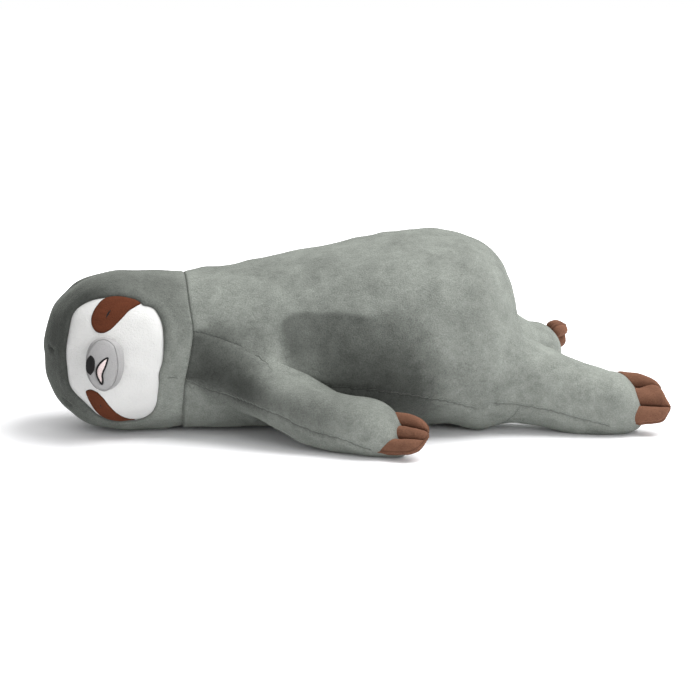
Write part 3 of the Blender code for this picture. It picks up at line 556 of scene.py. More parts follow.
def satinStitch(name, colour, angle):
    # embroidery: rows of shiny polyester thread laid side by side, which a wave texture of their pitch draws as
    # painted shade and highlight
    material, tree = newMaterial(name)
    place = node(tree, "Attribute", out="Vector", attribute_name="restPlace")
    turned = node(tree, "Mapping", {"Vector": place, "Rotation": (0, angle, 0)})
    rows = node(tree, "TexWave", {
        "Vector": turned, "Scale": 2 * np.pi / (20 * thread["pitch"] * unit), "Distortion": 1.2, "Detail": 2.0,
        "Detail Scale": 1.5}, "Fac", bands_direction="Z")
    # painted shade between the rows of thread and a painted highlight along each
    dark, light = linearColour(colour, 0.6), linearColour(colour, 1.25)
    tone = node(tree, "Mix", {"Factor": rows, 6: dark, 7: light}, 2, data_type="RGBA")
    bump = node(tree, "Bump", {"Height": rows, "Strength": 0.5, "Distance": thread["height"] * unit})
    shader = node(tree, "BsdfPrincipled", {"Base Color": tone, "Roughness": 0.6, "Specular IOR Level": 0.25,
                                           "Sheen Weight": 0.1, "Normal": bump})
    node(tree, "OutputMaterial", {"Surface": shader})
    return material


# velvet plush: dyed knitted polyester with a cut pile of about a millimetre, shorter on the face and muzzle
greyPlush = velvetPlush("grey velvet plush", "81857F", contrast=0.36, sheen=0.5)
whitePlush = velvetPlush("white velvet plush", "E3E3E1", contrast=0.03, sheen=0.2, seamLineAndCreaseShade=0.6)
brownPlush = velvetPlush("brown velvet plush", "5F3422", contrast=0.22, sheen=0.25)
clawPlush = velvetPlush("pale brown velvet plush", "72503F", contrast=0.24, sheen=0.7, brush=0.7)
muzzlePlush = velvetPlush("pale grey velvet plush", "A7A6A6", contrast=0.08, sheen=0.25, seamLineAndCreaseShade=0.12)
blackThread = satinStitch("black satin-stitch thread", "0D0B0C", 0.5)
pinkThread = satinStitch("pale pink satin-stitch thread", "F1DEDC", 0.2)


def dress(name, points, values, material, body, *nodes, soft=True, closedRows=False):
    # a skin that rides on a body, or stays fixed where it is made when it is given two bodies and two places, and
    # takes the place of its CAD nodes
    piece = gridMesh(name, points, values, material, closedRows)
    if isinstance(body, tuple):
        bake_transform(piece)
    else:
        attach(piece, body)
    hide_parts(*nodes)


# Torso

creases = {"broad": 95, "broadHeight": 1.2, "fine": 33, "fineHeight": 0.6, "seed": 11}
headSeed = 3


def rumple(points, seed=0):
    # the unevenness of loose stuffing: broad and fine swells
    return creases["broadHeight"] * softNoise(points, creases["broad"], creases["seed"] + seed) \
        + creases["fineHeight"] * softNoise(points, creases["fine"], creases["seed"] + 50 + seed)


sides = {"left": -1, "right": 1}
limbs = {}
for sideName, sign in sides.items():
    limbs[sideName + "_arm"] = (arm, limbWays(sideName + "_arm", sign))
    limbs[sideName + "_leg"] = (leg if sign < 0 else farLeg, limbWays(sideName + "_leg", sign))


def joinNeck(points, stitches, away):
    # the neck's sewn ring isn't flat: both sides of it lean along X by a table of heights, less with the distance
    height = np.clip(points[..., 2], neckSeam["heights"][0], neckSeam["heights"][-1])
    lean = smoothTable(neckSeam["heights"], neckSeam["lean"], height)
    points = points + alongX * (lean * np.exp(-np.abs(away) / neckSeam["fade"]))[..., None]
    ring = np.abs(away) / neckSeam["lineDarkness"]
    line = np.where(ring < np.abs(stitches["seam"]), ring, stitches["seam"])
    return points, dict(stitches, seam=line)


# painted shade and painted light, partly standing in for pile stroked darker or lighter: centre, reach and amount
bodyShadeAndNap = [
    ((20, -92, 74), (30, 60, 16), -0.35), ((56, -112, 68), (26, 40, 22), -0.45),
    ((128, -158, 42), (48, 50, 20), -0.35), ((100, -118, 104), (30, 40, 22), 0.25),
    ((84, -128, 62), (44, 50, 18), -0.4), ((125, -140, 82), (45, 45, 18), 0.2),
    ((191, -200, 55), (40, 45, 40), 0.25), ((29, -55, 165), (42, 60, 42), 0.2),
    ((215, -130, 66), (55, 60, 36), -0.6), ((225, -130, 34), (50, 60, 26), -0.35),
    ((441, -120, 80), (90, 70, 40), 0.15),
]
# stretches of painted shade, partly standing in for pile stroked the other way: the flank and the arm's panel
# between its seams; each has an outline along X and up, and tells how softly its edge turns above, at the left,
# below and at the right
flank = {"outline": [(106, 140), (116, 147), (150, 149), (190, 148), (216, 145), (238, 137), (253, 121), (264, 98),
                     (273, 62), (285, 20), (240, -20), (120, -20), (90, 20), (104, 70), (108, 98), (106, 122)],
         "crisp": 3.5, "left": 9, "soft": 24, "above": 140, "right": 200, "amount": -0.64}
panel = {"outline": [(-20, 131), (-2, 128), (12.6, 126.4), (26, 123), (40, 119), (57, 113.5), (66, 104), (66, 85),
                     (66, 66), (60, 54), (43, 58.5), (19, 65), (-2, 72), (-20, 77)],
         "crisp": 2.5, "left": 5, "soft": 36, "above": -100, "right": -2, "amount": -1.0}
armTop = [(-2, 83, 128), (12.6, 85.4, 126.4), (26, 89, 123), (40, 95, 119), (57, 103, 113.5), (73, 112.6, 108),
          (86.6, 123.3, 102.7), (97, 133, 97)]
bellyEdge = [(91, 118, 70), (141, 120, 64), (212, 121, 59.5), (249, 123, 53), (290, 120, 44.5), (332, 109, 39),
             (366, 96, 34)]


def makeTorso():
    # a loft of the body's sections, pushed out by its filling, rounded into the limbs, sewn, and laid on the floor;
    # a plug at the neck bulges into the head
    u, share = evenStations(lambda u: bodySection(torso, u)[2], 0, torso["length"], torso["rings"])
    height, wide, tall = bodySection(torso, u)
    centre = np.stack([neck[0] + u, 0 * u, height], -1)
    flat = loft(centre, alongY, upright, wide * share, tall * share, torso["powers"], torso["sides"])
    plug = np.where(u < 2, neckSeam["plug"] * (1 - share ** neckSeam["plugPower"]), 0)
    points = pushed(flat, rumple(flat) * smoothStep(flat[..., 0] - neck[0], 0, 30))
    for limb, ways in limbs.values():
        joint, ahead, across = ways
        near = 1 - smoothStep((flat - joint) @ ahead, limb["keepFrom"], limb["keepTo"])
        near = near * smoothStep((flat - joint) @ across, -30, 0)
        points = weld(points, torsoDistance, lambda p: limbDistance(p, limb, ways), limb["fillet"], near)
    seams = []
    for turn in ((1, 1, 1), (1, -1, 1)):
        seams += [
            seam(np.multiply(turn, bellyEdge), 3.2, 1.6, 22),
            # a notch at the armpit, whose dark line is painted shade
            seam(np.multiply(turn, [(84, 87, 34), (90, 75, 20)]), 5, 4, 20, lineDarkness=0.4, fadeIn=6, fadeOut=3),
            seam(np.multiply(turn, armTop[:5]), 2.4, 0.9, 25, lineDarkness=0.6),
            seam(np.multiply(turn, [(-2, 88, 72), (19, 88, 65), (43, 98.5, 58.5), (60, 108, 54)]), 2.4, 0.9, 25,
                 lineDarkness=0.6),
        ]
    points, stitches = sew(points, seams)
    points, stitches = joinNeck(rest(points, torso["softness"]), stitches, flat[..., 0] - neck[0])
    points = points - alongX * plug[:, None, None]
    # painted shade and light on the body, partly standing in for pile stroked differently
    stitches["shadeAndNap"] = paintShadeAndNap(points, bodyShadeAndNap, (flank, panel))
    dress("torso_cover", points, stitches, greyPlush, "torso", "back_panel", "belly_panel", "body_stuffing")


makeTorso()
print("torso made")


# Head and face

# outlines on the front, along X and up from the middle of the face
faceCentre = np.array([neck[0] - 84, neck[2]])
faceOutline = [(-7.8, 71.8), (-19.1, 70.2), (-30.5, 66.5), (-40.1, 60.7), (-46.9, 52.4), (-50.9, 42.5),
               (-53.7, 28), (-55.8, 12.9), (-55.9, -2.4), (-55, -16.1), (-52, -30.1), (-44.7, -41.9),
               (-35.6, -51.9), (-28.2, -59.2), (-22.6, -64.7), (-13.2, -70.3), (0.1, -74.1), (13.4, -74.2),
               (23.9, -74.1), (34.4, -70.7), (42.9, -62.4), (47.6, -51.1), (49.5, -38.2), (50.6, -23.9),
               (50.3, -13.9), (53.2, -2.2), (54.7, 14.9), (55, 29.9), (54, 42.6), (50.6, 52.4), (45.2, 59.4),
               (38.8, 62.1), (33.1, 63.1), (31, 65.3), (26.8, 68.2), (16.6, 71.3), (3.5, 73.1)]
upperPatch = [(-7.8, 71.8), (3.5, 73.1), (16.6, 71.3), (26.8, 68.2), (31, 65.3), (25.5, 61.5), (17.9, 57.4),
              (10.1, 50.5), (2.4, 43.5), (-5.2, 37.2), (-12.8, 34), (-20.2, 35.2), (-24.7, 41.3), (-25.4, 48.3),
              (-22.4, 57.1), (-17.5, 64), (-13.6, 68.3)]
lowerPatch = [(-33.2, -33), (-28.5, -30.5), (-21.9, -32.3), (-14.6, -39.3), (-7.3, -50), (2, -61.2), (15.3, -71.2),
              (22, -73.2), (15.3, -73.8), (0.1, -73.6), (-13.2, -69), (-22.5, -61), (-28.9, -51.1), (-32.5, -40.3)]
faceCurve = closedCurve(faceOutline, 180) + faceCentre


def headFront(x, z):
    # how far forward the head reaches at a place of its front: -wide * (1 - (rise / tall)^p)^(1 / p)
    height, wide, tall = bodySection(head, np.clip(neck[0] - x, 0, head["length"]))
    rise = np.clip(np.abs(z - height) / np.maximum(tall, tiny), 0, 0.995)
    power = head["powers"][0]
    return -wide * (1 - rise**power) ** (1 / power)


def onFront(front, place, lift):
    # points of a front surface, raised along its normals by a lift and by the unevenness of the filling
    x, z = place[..., 0], place[..., 1]
    y = front(x, z)
    slopeX = (front(x + 1, z) - front(x - 1, z)) / 2
    slopeZ = (front(x, z + 1) - front(x, z - 1)) / 2
    normal = np.stack([slopeX, -np.ones_like(x), slopeZ], -1)
    normal /= np.linalg.norm(normal, axis=-1, keepdims=True)
    points = np.stack([x, y, z], -1)
    return points + normal * (lift + rumple(points, headSeed))[..., None], normal


# painted shade and painted light on the hood, partly standing in for pile stroked differently: centre, reach and
# amount
headShadeAndNap = [
    ((-147, -50, 110), (34, 70, 62), -1.3), ((-114, -50, 162), (38, 55, 28), -1.0),
    ((-21, -70, 150), (28, 70, 36), -0.35), ((-50, -40, 178), (50, 70, 22), -0.45),
    ((-18, -70, 40), (28, 60, 30), 0.15), ((-134, -50, 42), (34, 60, 28), -0.5),
    ((-89, -50, 14), (50, 60, 16), -0.3),
]
# how the hood's opening is sewn: a roll round it, that lies so far out, and the fold under the face
opening = {"roll": 1.6, "rollAt": 6, "rollWidth": 4.5, "fold": 4.5}


def makeHead():
    # a loft of the head's sections, pushed out by its filling and round its opening, sunk under the face, and sewn
    u, share = evenStations(lambda u: bodySection(head, u)[2], 0, head["length"], head["rings"])
    height, wide, tall = bodySection(head, u)
    centre = np.stack([neck[0] - u, 0 * u, height], -1)
    points = loft(centre, alongY, upright, wide * share, tall * share, head["powers"], head["sides"])
    rim = outlineDistance(points[..., [0, 2]], faceCurve) + 1000 * (points[..., 1] > 0)
    shift = rumple(points, headSeed) * smoothStep(neck[0] - points[..., 0], 0, 25)
    shift += opening["roll"] * bell((rim - opening["rollAt"]) / opening["rollWidth"])
    points = pushed(points, shift - opening["fold"] * smoothStep(-rim, -1.5, 2.5))
    points, stitches = sew(points, [
        # three creases, whose dark lines are painted shade, then the seam along the crown
        seam([(-155, -34, 106), (-152, -42, 104), (-148, -49, 104)], 3.2, 2.6, 20, lineDarkness=0.7, fadeIn=3, fadeOut=4),
        seam([(-142, -37, 47), (-137, -42, 43), (-130, -46, 38)], 3.2, 2.4, 20, lineDarkness=0.4, fadeIn=3, fadeOut=4),
        seam([(-24, -84, 76), (-11, -85, 76)], 2.4, 1.4, 15, lineDarkness=0.3, fadeIn=3, fadeOut=4),
        seam([(-145, 7, 156), (-135, 14, 164.5), (-123, 9.5, 173), (-109, 4, 180), (-93, 2, 184.5)], 2.6, 1.0, 25,
             lineDarkness=0.45, fadeIn=6, fadeOut=12),
    ])
    points = rest(points, torso["softness"])
    stitches["seam"] = np.where(np.abs(rim) < np.abs(stitches["seam"]), rim, stitches["seam"])
    points, stitches = joinNeck(points, stitches, neck[0] - points[..., 0])
    # painted shade and light on the hood
    stitches["shadeAndNap"] = paintShadeAndNap(points, headShadeAndNap)
    dress("hood_cover", points, stitches, greyPlush, "head", "hood", "head_stuffing")


makeHead()
print("head made")

face = {"proud": 1.4, "rimDrop": 3.2, "rimRound": 7, "thick": 4, "rows": 110, "sides": 360}


def faceLift(apart):
    # the face panel swells up from its sewn rim: proud less a drop that dies away with the distance from the rim
    inward = np.maximum(-apart, 0)
    return face["proud"] - face["rimDrop"] * np.exp(-inward / face["rimRound"])


def cushion(front, outline, sizes, lift):
    # a closed panel that conforms to a front surface: rings from the middle out to the outline, and back beneath
    curve = closedCurve(outline, sizes["sides"]) + faceCentre
    middle = curve.mean(0)
    out = np.sin(np.linspace(0, np.pi / 2, sizes["rows"] + 1)[1:])[:, None, None]
    place = middle + out * (curve - middle)
    apart = outlineDistance(place, curve)
    above, normal = onFront(front, place, lift(apart, place))
    below = (above - normal * sizes["thick"])[::-1]
    below[0] = above[-1] - normal[-1] * sizes["thick"] / 2
    return np.concatenate([above, below]), {"seam": np.concatenate([apart, apart[::-1]])}


points, stitches = cushion(headFront, faceOutline, face, lambda apart, place: faceLift(apart))
dress("face_cover", points, stitches, whitePlush, "head", "face_panel")

patch = {"lift": 1.3, "edge": 1.6, "thick": 2.2, "rows": 50, "sides": 220, "sunk": 0.1}


def patchLift(apart, place):
    # a patch stands on the face by its lift, less a sunk edge, and rounds down to it over its edge's width
    raised = patch["lift"] * dome(-apart, patch["edge"], 2)
    return faceLift(outlineDistance(place, faceCurve)) + raised - patch["sunk"]


for name, outline in (("upper_eye_patch", upperPatch), ("lower_eye_patch", lowerPatch)):
    points, stitches = cushion(headFront, outline, patch, patchLift)
    dress(name + "_cloth", points, stitches, brownPlush, "head", name)


def lens(name, edges, front, lift, depth, count, material):
    # a form between two edges that share their tips: at each station an oval, half the gap wide and depth high
    t = (1 - np.cos(np.linspace(0, np.pi, count + 2)[1:-1])) / 2
    a, b = (np.stack([np.interp(t, np.linspace(0, 1, len(edge)), edge[:, k]) for k in (0, 1)], -1)
            for edge in (smoothPath(points, 0.1) for points in edges))
    angle = ringAngles(thread["sides"])
    place = ((a + b) / 2)[:, None, :] + ((a - b) / 2)[:, None, :] * np.cos(angle)[:, None] + faceCentre
    base, normal = onFront(front, place, lift)
    wide = np.minimum(np.linalg.norm(a - b, axis=1) / 2, depth * 2) / (depth * 2)
    points = base + normal * (depth * np.sin(angle) * wide[:, None])[..., None]
    dress(name + "_stitches", points, {}, material, "head", name, soft=False)


def eyeFront(x, z):
    # the face panel's surface, under its patches
    return headFront(x, z) - faceLift(outlineDistance(np.stack([x, z], -1), faceCurve))


upperEye = [[(-2.6, 59.2), (-5.4, 54.2), (-9.6, 49.4)], [(-2.6, 59.2), (-7.2, 54.8), (-9.6, 49.4)]]
lowerEye = [[(-18, -48.8), (-16.4, -51), (-16.5, -53.4)], [(-18, -48.8), (-17.9, -51.2), (-16.5, -53.4)]]
lens("upper_eye", upperEye, eyeFront, patch["lift"], 0.7, 40, blackThread)
lens("lower_eye", lowerEye, eyeFront, patch["lift"], 0.6, 30, blackThread)
print("face made")

muzzle = {
    "rim": 101.6, "crown": 5.0, "rows": 110, "sides": 220,
    # up the wall, the first part of the rows: how much of the way from the base's outline to the disc's, and how
    # large and how far forward; then the disc, from the wall's last size in to the middle, with a sewn edge
    "places": (0, 0.10, 0.2, 0.32, 0.42, 0.50, 0.56, 0.60), "mix": (0, 0, 0, 0.12, 0.45, 0.8, 0.97, 1),
    "sizes": (0.8, 0.95, 1, 1.01, 1.015, 1.01, 1.0, 0.985), "forward": (75, 79, 86, 92, 96.5, 99.6, 101.2, 100.6),
    "dip": 0.9, "dipWidth": 0.035, "wallLength": 60, "discRadius": 30,
}
muzzleBase = [(-33, 0.3), (-31.1, 15.5), (-25.3, 24.9), (-11.2, 31.2), (1.6, 26.1), (8.8, 14.4), (10.4, 1),
              (8.2, -12.4), (2.3, -23.7), (-12.7, -30), (-22.9, -24.9), (-30, -15.1)]
muzzleDisc = [(-33, 1.3), (-30.8, 16.6), (-20.6, 29.5), (-11.3, 31.2), (-2.2, 25.2), (1.6, 13.7), (2.8, 0.3),
              (0.6, -13), (-5.2, -24.4), (-12.8, -28.4), (-22, -24.8), (-30, -14.2)]
discMiddle = np.array([-15.2, 1.2])


def polar(outline, angle):
    # how far an outline lies from the disc's middle in each direction
    curve = closedCurve(outline, 400) - discMiddle
    at = np.arctan2(curve[:, 1], curve[:, 0])
    order = np.argsort(at)
    return np.interp(angle, at[order], np.hypot(curve[:, 0], curve[:, 1])[order], period=2 * np.pi)


def muzzleFront(x, z):
    # the crowned front disc: rim + crown * (1 - share^2), where the share is that of the disc's outline
    place = np.stack([x, z], -1) - faceCentre - discMiddle
    share = np.linalg.norm(place, axis=-1) / polar(muzzleDisc, np.arctan2(place[..., 1], place[..., 0]))
    return -(muzzle["rim"] + muzzle["crown"] * (1 - share**2))


def makeMuzzle():
    # rings from inside the head up the wall and over the disc: size * (base + (disc - base) * mix)
    angle = ringAngles(muzzle["sides"])
    base, disc = polar(muzzleBase, angle), polar(muzzleDisc, angle)
    t = np.linspace(0, 1, muzzle["rows"])
    places, last = muzzle["places"], muzzle["sizes"][-1]
    edge = places[-1]
    mix = np.interp(t, places, muzzle["mix"])
    inward = np.maximum(np.clip(1 - (t - edge) / (1 - edge), 0, 1) * last, tiny)
    size = np.where(t < edge, np.interp(t, places, muzzle["sizes"]), inward)
    dip = muzzle["dip"] * bell((1 - size) / muzzle["dipWidth"])
    front = muzzle["rim"] + muzzle["crown"] * (1 - size**2) - dip
    forward = np.where(t < edge, np.interp(t, places, muzzle["forward"]), front)
    reach = size[:, None] * (base + (disc - base) * mix[:, None])
    x = faceCentre[0] + discMiddle[0] + reach * np.cos(angle)
    z = faceCentre[1] + discMiddle[1] + reach * np.sin(angle)
    points = np.stack([x, np.broadcast_to(-forward[:, None], x.shape), z], -1)
    points = pushed(points, 0.5 * softNoise(points, 30, 21))
    away = np.where(t < edge, muzzle["wallLength"] * (t - edge), muzzle["discRadius"] * (1 - size / last))
    dress("muzzle_plush", points, {"seam": away[:, None]}, muzzlePlush, "head", "muzzle_cover", "muzzle_stuffing")


makeMuzzle()

nose = [[(-27.1, 14.9), (-23.4, 9.5), (-22.9, 3.8), (-24.3, -3.8), (-28.1, -8.9)],
        [(-27.1, 14.9), (-31.3, 9.7), (-33, 2.1), (-32.2, -4.6), (-28.1, -8.9)]]
lens("nose", nose, muzzleFront, 0.2, 1.3, 70, blackThread)
mouthOuter = [(-8.5, 10.6), (-12, 9.4), (-15.7, 6.6), (-20.5, -0.3), (-21.4, -5.5), (-20.7, -9.4), (-15.4, -18.8)]
mouthInner = [(-8.5, 10.6), (-9.6, 6.2), (-11.2, 1.7), (-14.1, -4.9), (-15.2, -9), (-14.9, -12.5), (-15.4, -18.8)]
lens("mouth", [mouthInner, mouthOuter], muzzleFront, 0.1, 0.8, 60, pinkThread)
mouthLine = {"radius": 1.1, "flat": 0.8, "lift": 0.45, "count": 220, "sides": 16}


def makeMouthLine():
    # a tube along the mouth's outline: ring = place + radius * (cos * across + flat * sin * outward)
    curve = closedCurve(mouthOuter[:-1] + mouthInner[:0:-1], mouthLine["count"]) + faceCentre
    base, normal = onFront(muzzleFront, curve, mouthLine["lift"])
    across = np.cross(np.roll(base, -1, 0) - np.roll(base, 1, 0), normal)
    across /= np.linalg.norm(across, axis=1, keepdims=True)
    angle = ringAngles(mouthLine["sides"])[:, None]
    ring = across[:, None, :] * np.cos(angle) + normal[:, None, :] * mouthLine["flat"] * np.sin(angle)
    points = base[:, None, :] + mouthLine["radius"] * ring
    dress("mouth_line_stitches", points, {}, blackThread, "head", "mouth_line", soft=False, closedRows=True)


makeMouthLine()
print("muzzle made")


# Limbs

armSeam = [(-6, -85, 72), (19, -88, 65), (43, -98.5, 58.5), (74, -125, 51), (101, -148.5, 41), (129, -168, 29),
           (168, -194, 19), (194, -203, 10)]
legSeam = [(310, -121, 43.5), (328, -119.5, 42.5), (345, -118, 41), (380, -117, 37), (403, -119.7, 33),
           (425, -125, 29), (448, -130, 22.5), (471, -135, 17), (484, -137, 13)]
# a fold at the thigh, whose dark line is painted shade
thighFold = [(379, -115, 33), (374, -105, 21), (367, -95, 13), (358, -84, 6)]
limbSeams = {
    "left_arm": [seam(armSeam, 3.0, 1.3, 20), seam(np.multiply(armTop[1:], (1, -1, 1)), 2.4, 0.8, 25, lineDarkness=0.6,
                                                   fadeIn=3, fadeOut=45)],
    "left_leg": [seam(legSeam, 3.0, 1.3, 20, fadeOut=5), seam(thighFold, 2.2, 1.2, 20, lineDarkness=0.5, fadeIn=5)],
    "right_leg": [],
}
limbSeams["right_arm"] = [dict(line, path=line["path"] * (1, -1, 1)) for line in limbSeams["left_arm"]]
clearance = 1.2         # between a limb's inner side and the flank


def makeLimb(name):
    # a loft of the limb's sections, pushed out by its filling and rounded into the body; further along, its inner
    # side lies flat against the flank
    limb, ways = limbs[name]
    joint, ahead, across = ways
    end = limb["reach"] + limb["round"]
    s, share = evenStations(lambda s: limbSection(limb, s)[3], -limb["back"], end, limb["rings"])
    height, bow, wide, tall = limbSection(limb, s)
    centre = joint * (1, 1, 0) + s[:, None] * ahead + bow[:, None] * across + height[:, None] * upright
    points = loft(centre, across, upright, wide * share, tall * share, limbPowers, limb["sides"])
    along = s[:, None]
    seed = 5 + sorted(limbs).index(name)
    points = pushed(points, 0.75 * rumple(points, seed) * smoothStep(along, 20, 60))
    keep = 1 - smoothStep(along, limb["keepFrom"], limb["keepTo"])
    points = weld(points, lambda p: limbDistance(p, limb, ways), torsoDistance, limb["fillet"], keep)
    push = np.maximum(clearance - torsoDistance(points), 0)
    push = np.minimum(push * smoothStep(along, limb["keepFrom"] - 10, limb["keepFrom"] + 25), 60)
    points = points + np.sign(joint[1]) * alongY * push[..., None]
    points, stitches = sew(points, limbSeams[name])
    if limb["lift"] == 0:
        points = rest(points, 1.0)
    # painted shade and light on the limb, from the body's patches and the arm's panel
    stitches["shadeAndNap"] = paintShadeAndNap(points, bodyShadeAndNap, (panel,))
    start, end = (tuple((joint + ahead * distance) * unit) for distance in blend)
    dress(name + "_plush", points, stitches, greyPlush, ("torso", name, start, end), name + "_cover",
          name + "_stuffing")


for limbName in limbs:
    makeLimb(limbName)
print("limbs made")


# Claws

# each petal's two edges, at distances ahead of the claws' joint: ahead, first edge, second edge
claw = {
    "hand": {
        "thick": 10, "roll": 37, "bend": (14, 20),
        "petals": (
            ((-13, -26, -9.5), (0, -29, -10), (10, -27.5, -9), (20, -21.5, -8), (27, -14, -7), (31, -6.7, -6.2)),
            ((-13, -9.5, 9), (0, -10, 9.5), (20, -8, 7.5), (28, -6.7, 6.5), (31.5, -4, 4), (33, -0.2, 0.2)),
            ((-13, 9, 26), (0, 9.5, 29), (12, 8.5, 28), (22, 7, 23.5), (29, 6, 15), (32.5, 5.5, 6)),
        ),
    },
    "foot": {
        "thick": 12.5, "roll": 50, "bend": (24, 10),
        "petals": (
            ((-13, -31, -11.5), (0, -33.5, -12), (8, -32, -12.3), (16, -26.5, -12.7), (24, -13.6, -13.1)),
            ((-13, -11.5, 11.5), (0, -12, 12), (22, -13, 12.3), (28, -3, 12.2), (34, 11.3, 12)),
            ((-13, 11.5, 31), (0, 12, 33.5), (12, 12.3, 33), (22, 12.2, 30), (29, 12.1, 24), (33.5, 12, 12.6)),
        ),
    },
    "sunk": {"hand": (-3.5, -5), "foot": (0, 0)},       # ahead and up, into the cloth of the paw
    "farBend": (8, 10), "bendPower": 1.5, "bendReach": 24,      # how the caps' roots curve, above and below
    "root": 10, "rootPower": 2.2, "plump": 11, "plumpPower": 0.8, "gap": 0.25, "uneven": 0.4,
    "rim": 0.9, "rimRound": 1.1, "seamAt": 2.2, "tip": 8,       # the leaves' sewn edge
    "rings": 80, "sides": 84,
}


def capBend(sizes, bend, x, offset):
    # how far back the cap's root lies at an offset across the paw, above or below: bend * (offset / half width)^p
    share = np.abs(offset) / sizes["petals"][2][1][2]
    back = np.where(offset < 0, *bend) * share ** claw["bendPower"]
    return back * (1 - smoothStep(x, 0, claw["bendReach"]))


def makeClaws(sideName, sign, limbKind, paw):
    # three petals side by side on a line across the paw's end, rolled from the level: each is a loft between its
    # table's two edges, thick by its width, with two leaves that are sewn together round their free edge
    joint, ahead, across = limbs[f"{sideName}_{limbKind}"][1]
    sizes, sunk = claw[paw], claw["sunk"][paw]
    line = jointPlace(f"{sideName}_{paw}_claws_flex") + ahead * sunk[0] + upright * sunk[1]
    bend = claw["farBend"] if (paw, sign) == ("foot", 1) else sizes["bend"]
    roll = np.radians(sizes["roll"])
    across = across * np.cos(roll) - upright * np.sin(roll)
    above = np.cross(across, ahead)
    above = above * np.sign(above[2])
    angle = ringAngles(claw["sides"])
    for number, petal in enumerate(sizes["petals"], 1):
        table = np.array(petal, float)
        low, high = table[0, 0], table[-1, 0]
        edge = lambda x, k: smoothTable(table[:, 0], table[:, k], np.clip(x, low, high))
        widthAt = lambda x: np.maximum((edge(x, 2) - edge(x, 1)) / 2 - claw["gap"], 0.05)
        rooted = lambda x: dome(x - low, claw["root"], claw["rootPower"])
        x, share = evenStations(lambda x: widthAt(x) * rooted(x), low, high, claw["rings"])
        size = rooted(x) * share
        thick = sizes["thick"] * size * np.minimum(widthAt(x) / claw["plump"], 1) ** claw["plumpPower"]
        centre = line + x[:, None] * ahead + ((edge(x, 1) + edge(x, 2)) / 2)[:, None] * across
        points = loft(centre, across, above, widthAt(x) * size, thick, (2.0, 2.0), claw["sides"])
        back = capBend(sizes, bend, (points - line) @ ahead, (points - line) @ across)
        points = points - ahead * back[..., None]
        points = pushed(points, claw["uneven"] * softNoise(points, 16, 30 + number))
        apart = np.abs(np.sin(angle)) * thick[:, None]
        free = (np.cos(angle) * (number - 2) > 0) | (x[:, None] > high - claw["tip"])
        points = pushed(points, claw["rim"] * bell(apart / claw["rimRound"]) * free)
        points[..., 2] = np.maximum(points[..., 2], 0.3)
        name = f"{sideName}_{paw}_claw_{number}"
        seams = {"seam": apart - claw["seamAt"]}
        dress(name + "_plush", points, seams, clawPlush, f"{sideName}_{paw}_claws", name)


for sideName, sign in sides.items():
    makeClaws(sideName, sign, "arm", "hand")
    makeClaws(sideName, sign, "leg", "foot")
print("claws made")


# Studio

# power, size, place and aim of each soft lamp, in watts and metres
studio = {
    "top softbox": (48, 1.5, (0.85, -0.1, 1.75), (0, 0, 0.05)),
    "side softbox": (13, 1.0, (0.9, -2.0, 0.8), (-0.1, 0, 0.1)),
    "left softbox": (6, 1.0, (-1.3, -1.8, 0.8), (-0.25, 0, 0.1)),
}
# the floor glows to white for the camera, from a distance on; the glow is cut where something stands close, a
# painted contact shadow
ground = {"size": 30, "colour": "F4F4F6", "from": 0.35, "to": 1.1, "glow": (0.46, 1.1), "shadowReach": 0.12,
          "shadowPower": 1.5, "worldLight": 0.34}


def addArea(name, power, size, place, aim):
    # a square lamp at a place, turned to an aim
    data = bpy.data.lights.new(name, "AREA")
    data.energy, data.size = power, size
    light = newObject(name, data)
    light.location = place
    light.rotation_euler = (Vector(aim) - Vector(place)).to_track_quat("-Z", "Y").to_euler()


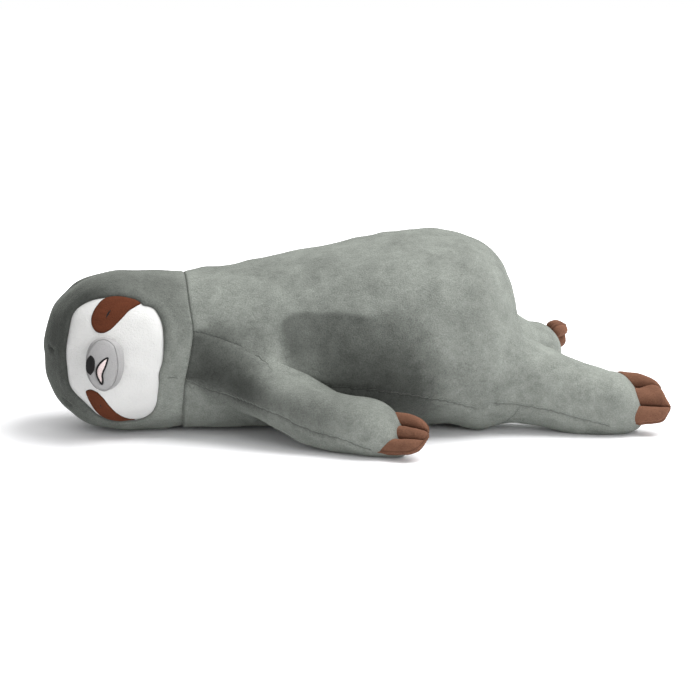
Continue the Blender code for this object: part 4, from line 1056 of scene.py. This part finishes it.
def makeStudio():
    # a wide floor, a plain white world and the lamps
    data = bpy.data.meshes.new("floor")
    corners = [(x * ground["size"], y * ground["size"], 0) for x, y in ((-1, -1), (1, -1), (1, 1), (-1, 1))]
    data.from_pydata(corners, [], [(0, 1, 2, 3)])
    floor = newObject("floor", data)
    material, tree = newMaterial("white paper")
    matt = node(tree, "BsdfDiffuse", {"Color": linearColour(ground["colour"])})
    seen = node(tree, "LightPath", out="Is Camera Ray")
    place = node(tree, "NewGeometry", out="Position")
    reach = node(tree, "VectorMath", {0: place}, "Value", operation="LENGTH")
    white = node(tree, "MapRange", {"Value": reach, "From Min": ground["from"], "From Max": ground["to"],
                                    "To Min": ground["glow"][0], "To Max": ground["glow"][1]})
    # painted contact shadow: the camera's glow on the floor is cut where the object stands close
    contactShadow = node(tree, "AmbientOcclusion", {"Distance": ground["shadowReach"]}, "AO", samples=12)
    clear = node(tree, "Math", {0: contactShadow, 1: ground["shadowPower"]}, operation="POWER")
    shown = node(tree, "Math", {0: seen, 1: clear}, operation="MULTIPLY")
    glow = node(tree, "Math", {0: shown, 1: white}, operation="MULTIPLY")
    light = node(tree, "Emission", {"Color": (1, 1, 1, 1), "Strength": glow})
    node(tree, "OutputMaterial", {"Surface": node(tree, "AddShader", {0: matt, 1: light})})
    data.materials.append(material)
    world = bpy.data.worlds.new("studio")
    bpy.context.scene.world = world
    world.use_nodes = True
    tree = world.node_tree
    tree.nodes.clear()
    seen = node(tree, "LightPath", out="Is Camera Ray")
    strength = node(tree, "MapRange", {"Value": seen, "To Min": ground["worldLight"], "To Max": 1.0})
    light = node(tree, "Background", {"Color": (1, 1, 1, 1), "Strength": strength})
    node(tree, "OutputWorld", {"Surface": light})
    for name, values in studio.items():
        addArea(name, *values)


makeStudio()

# the aim is from the neck in millimetres; distance and the moves to the right and up are in metres
camera = {"aim": (201, 0, 90), "azimuth": -8, "elevation": 11, "distance": 2.3, "lens": 98.54, "sensor": 36,
          "right": -0.0036, "up": -0.0048}


def makeCamera():
    # the camera looks at the aim from an azimuth and elevation, moved a little sideways and up
    turn, rise = np.radians(camera["azimuth"]), np.radians(camera["elevation"])
    back = np.array([np.sin(turn) * np.cos(rise), -np.cos(turn) * np.cos(rise), np.sin(rise)])
    right = np.array([np.cos(turn), np.sin(turn), 0])
    up = np.cross(back, right)
    data = bpy.data.cameras.new("camera")
    data.lens, data.sensor_width = camera["lens"], camera["sensor"]
    obj = newObject("camera", data)
    move = right * camera["right"] + up * camera["up"]
    obj.location = (camera["aim"] + fromNeck) * unit + back * camera["distance"] + move
    obj.rotation_euler = Vector(back).to_track_quat("Z", "Y").to_euler()
    bpy.context.scene.camera = obj


makeCamera()
bpy.context.scene.view_settings.view_transform = "Standard"
print("studio made")
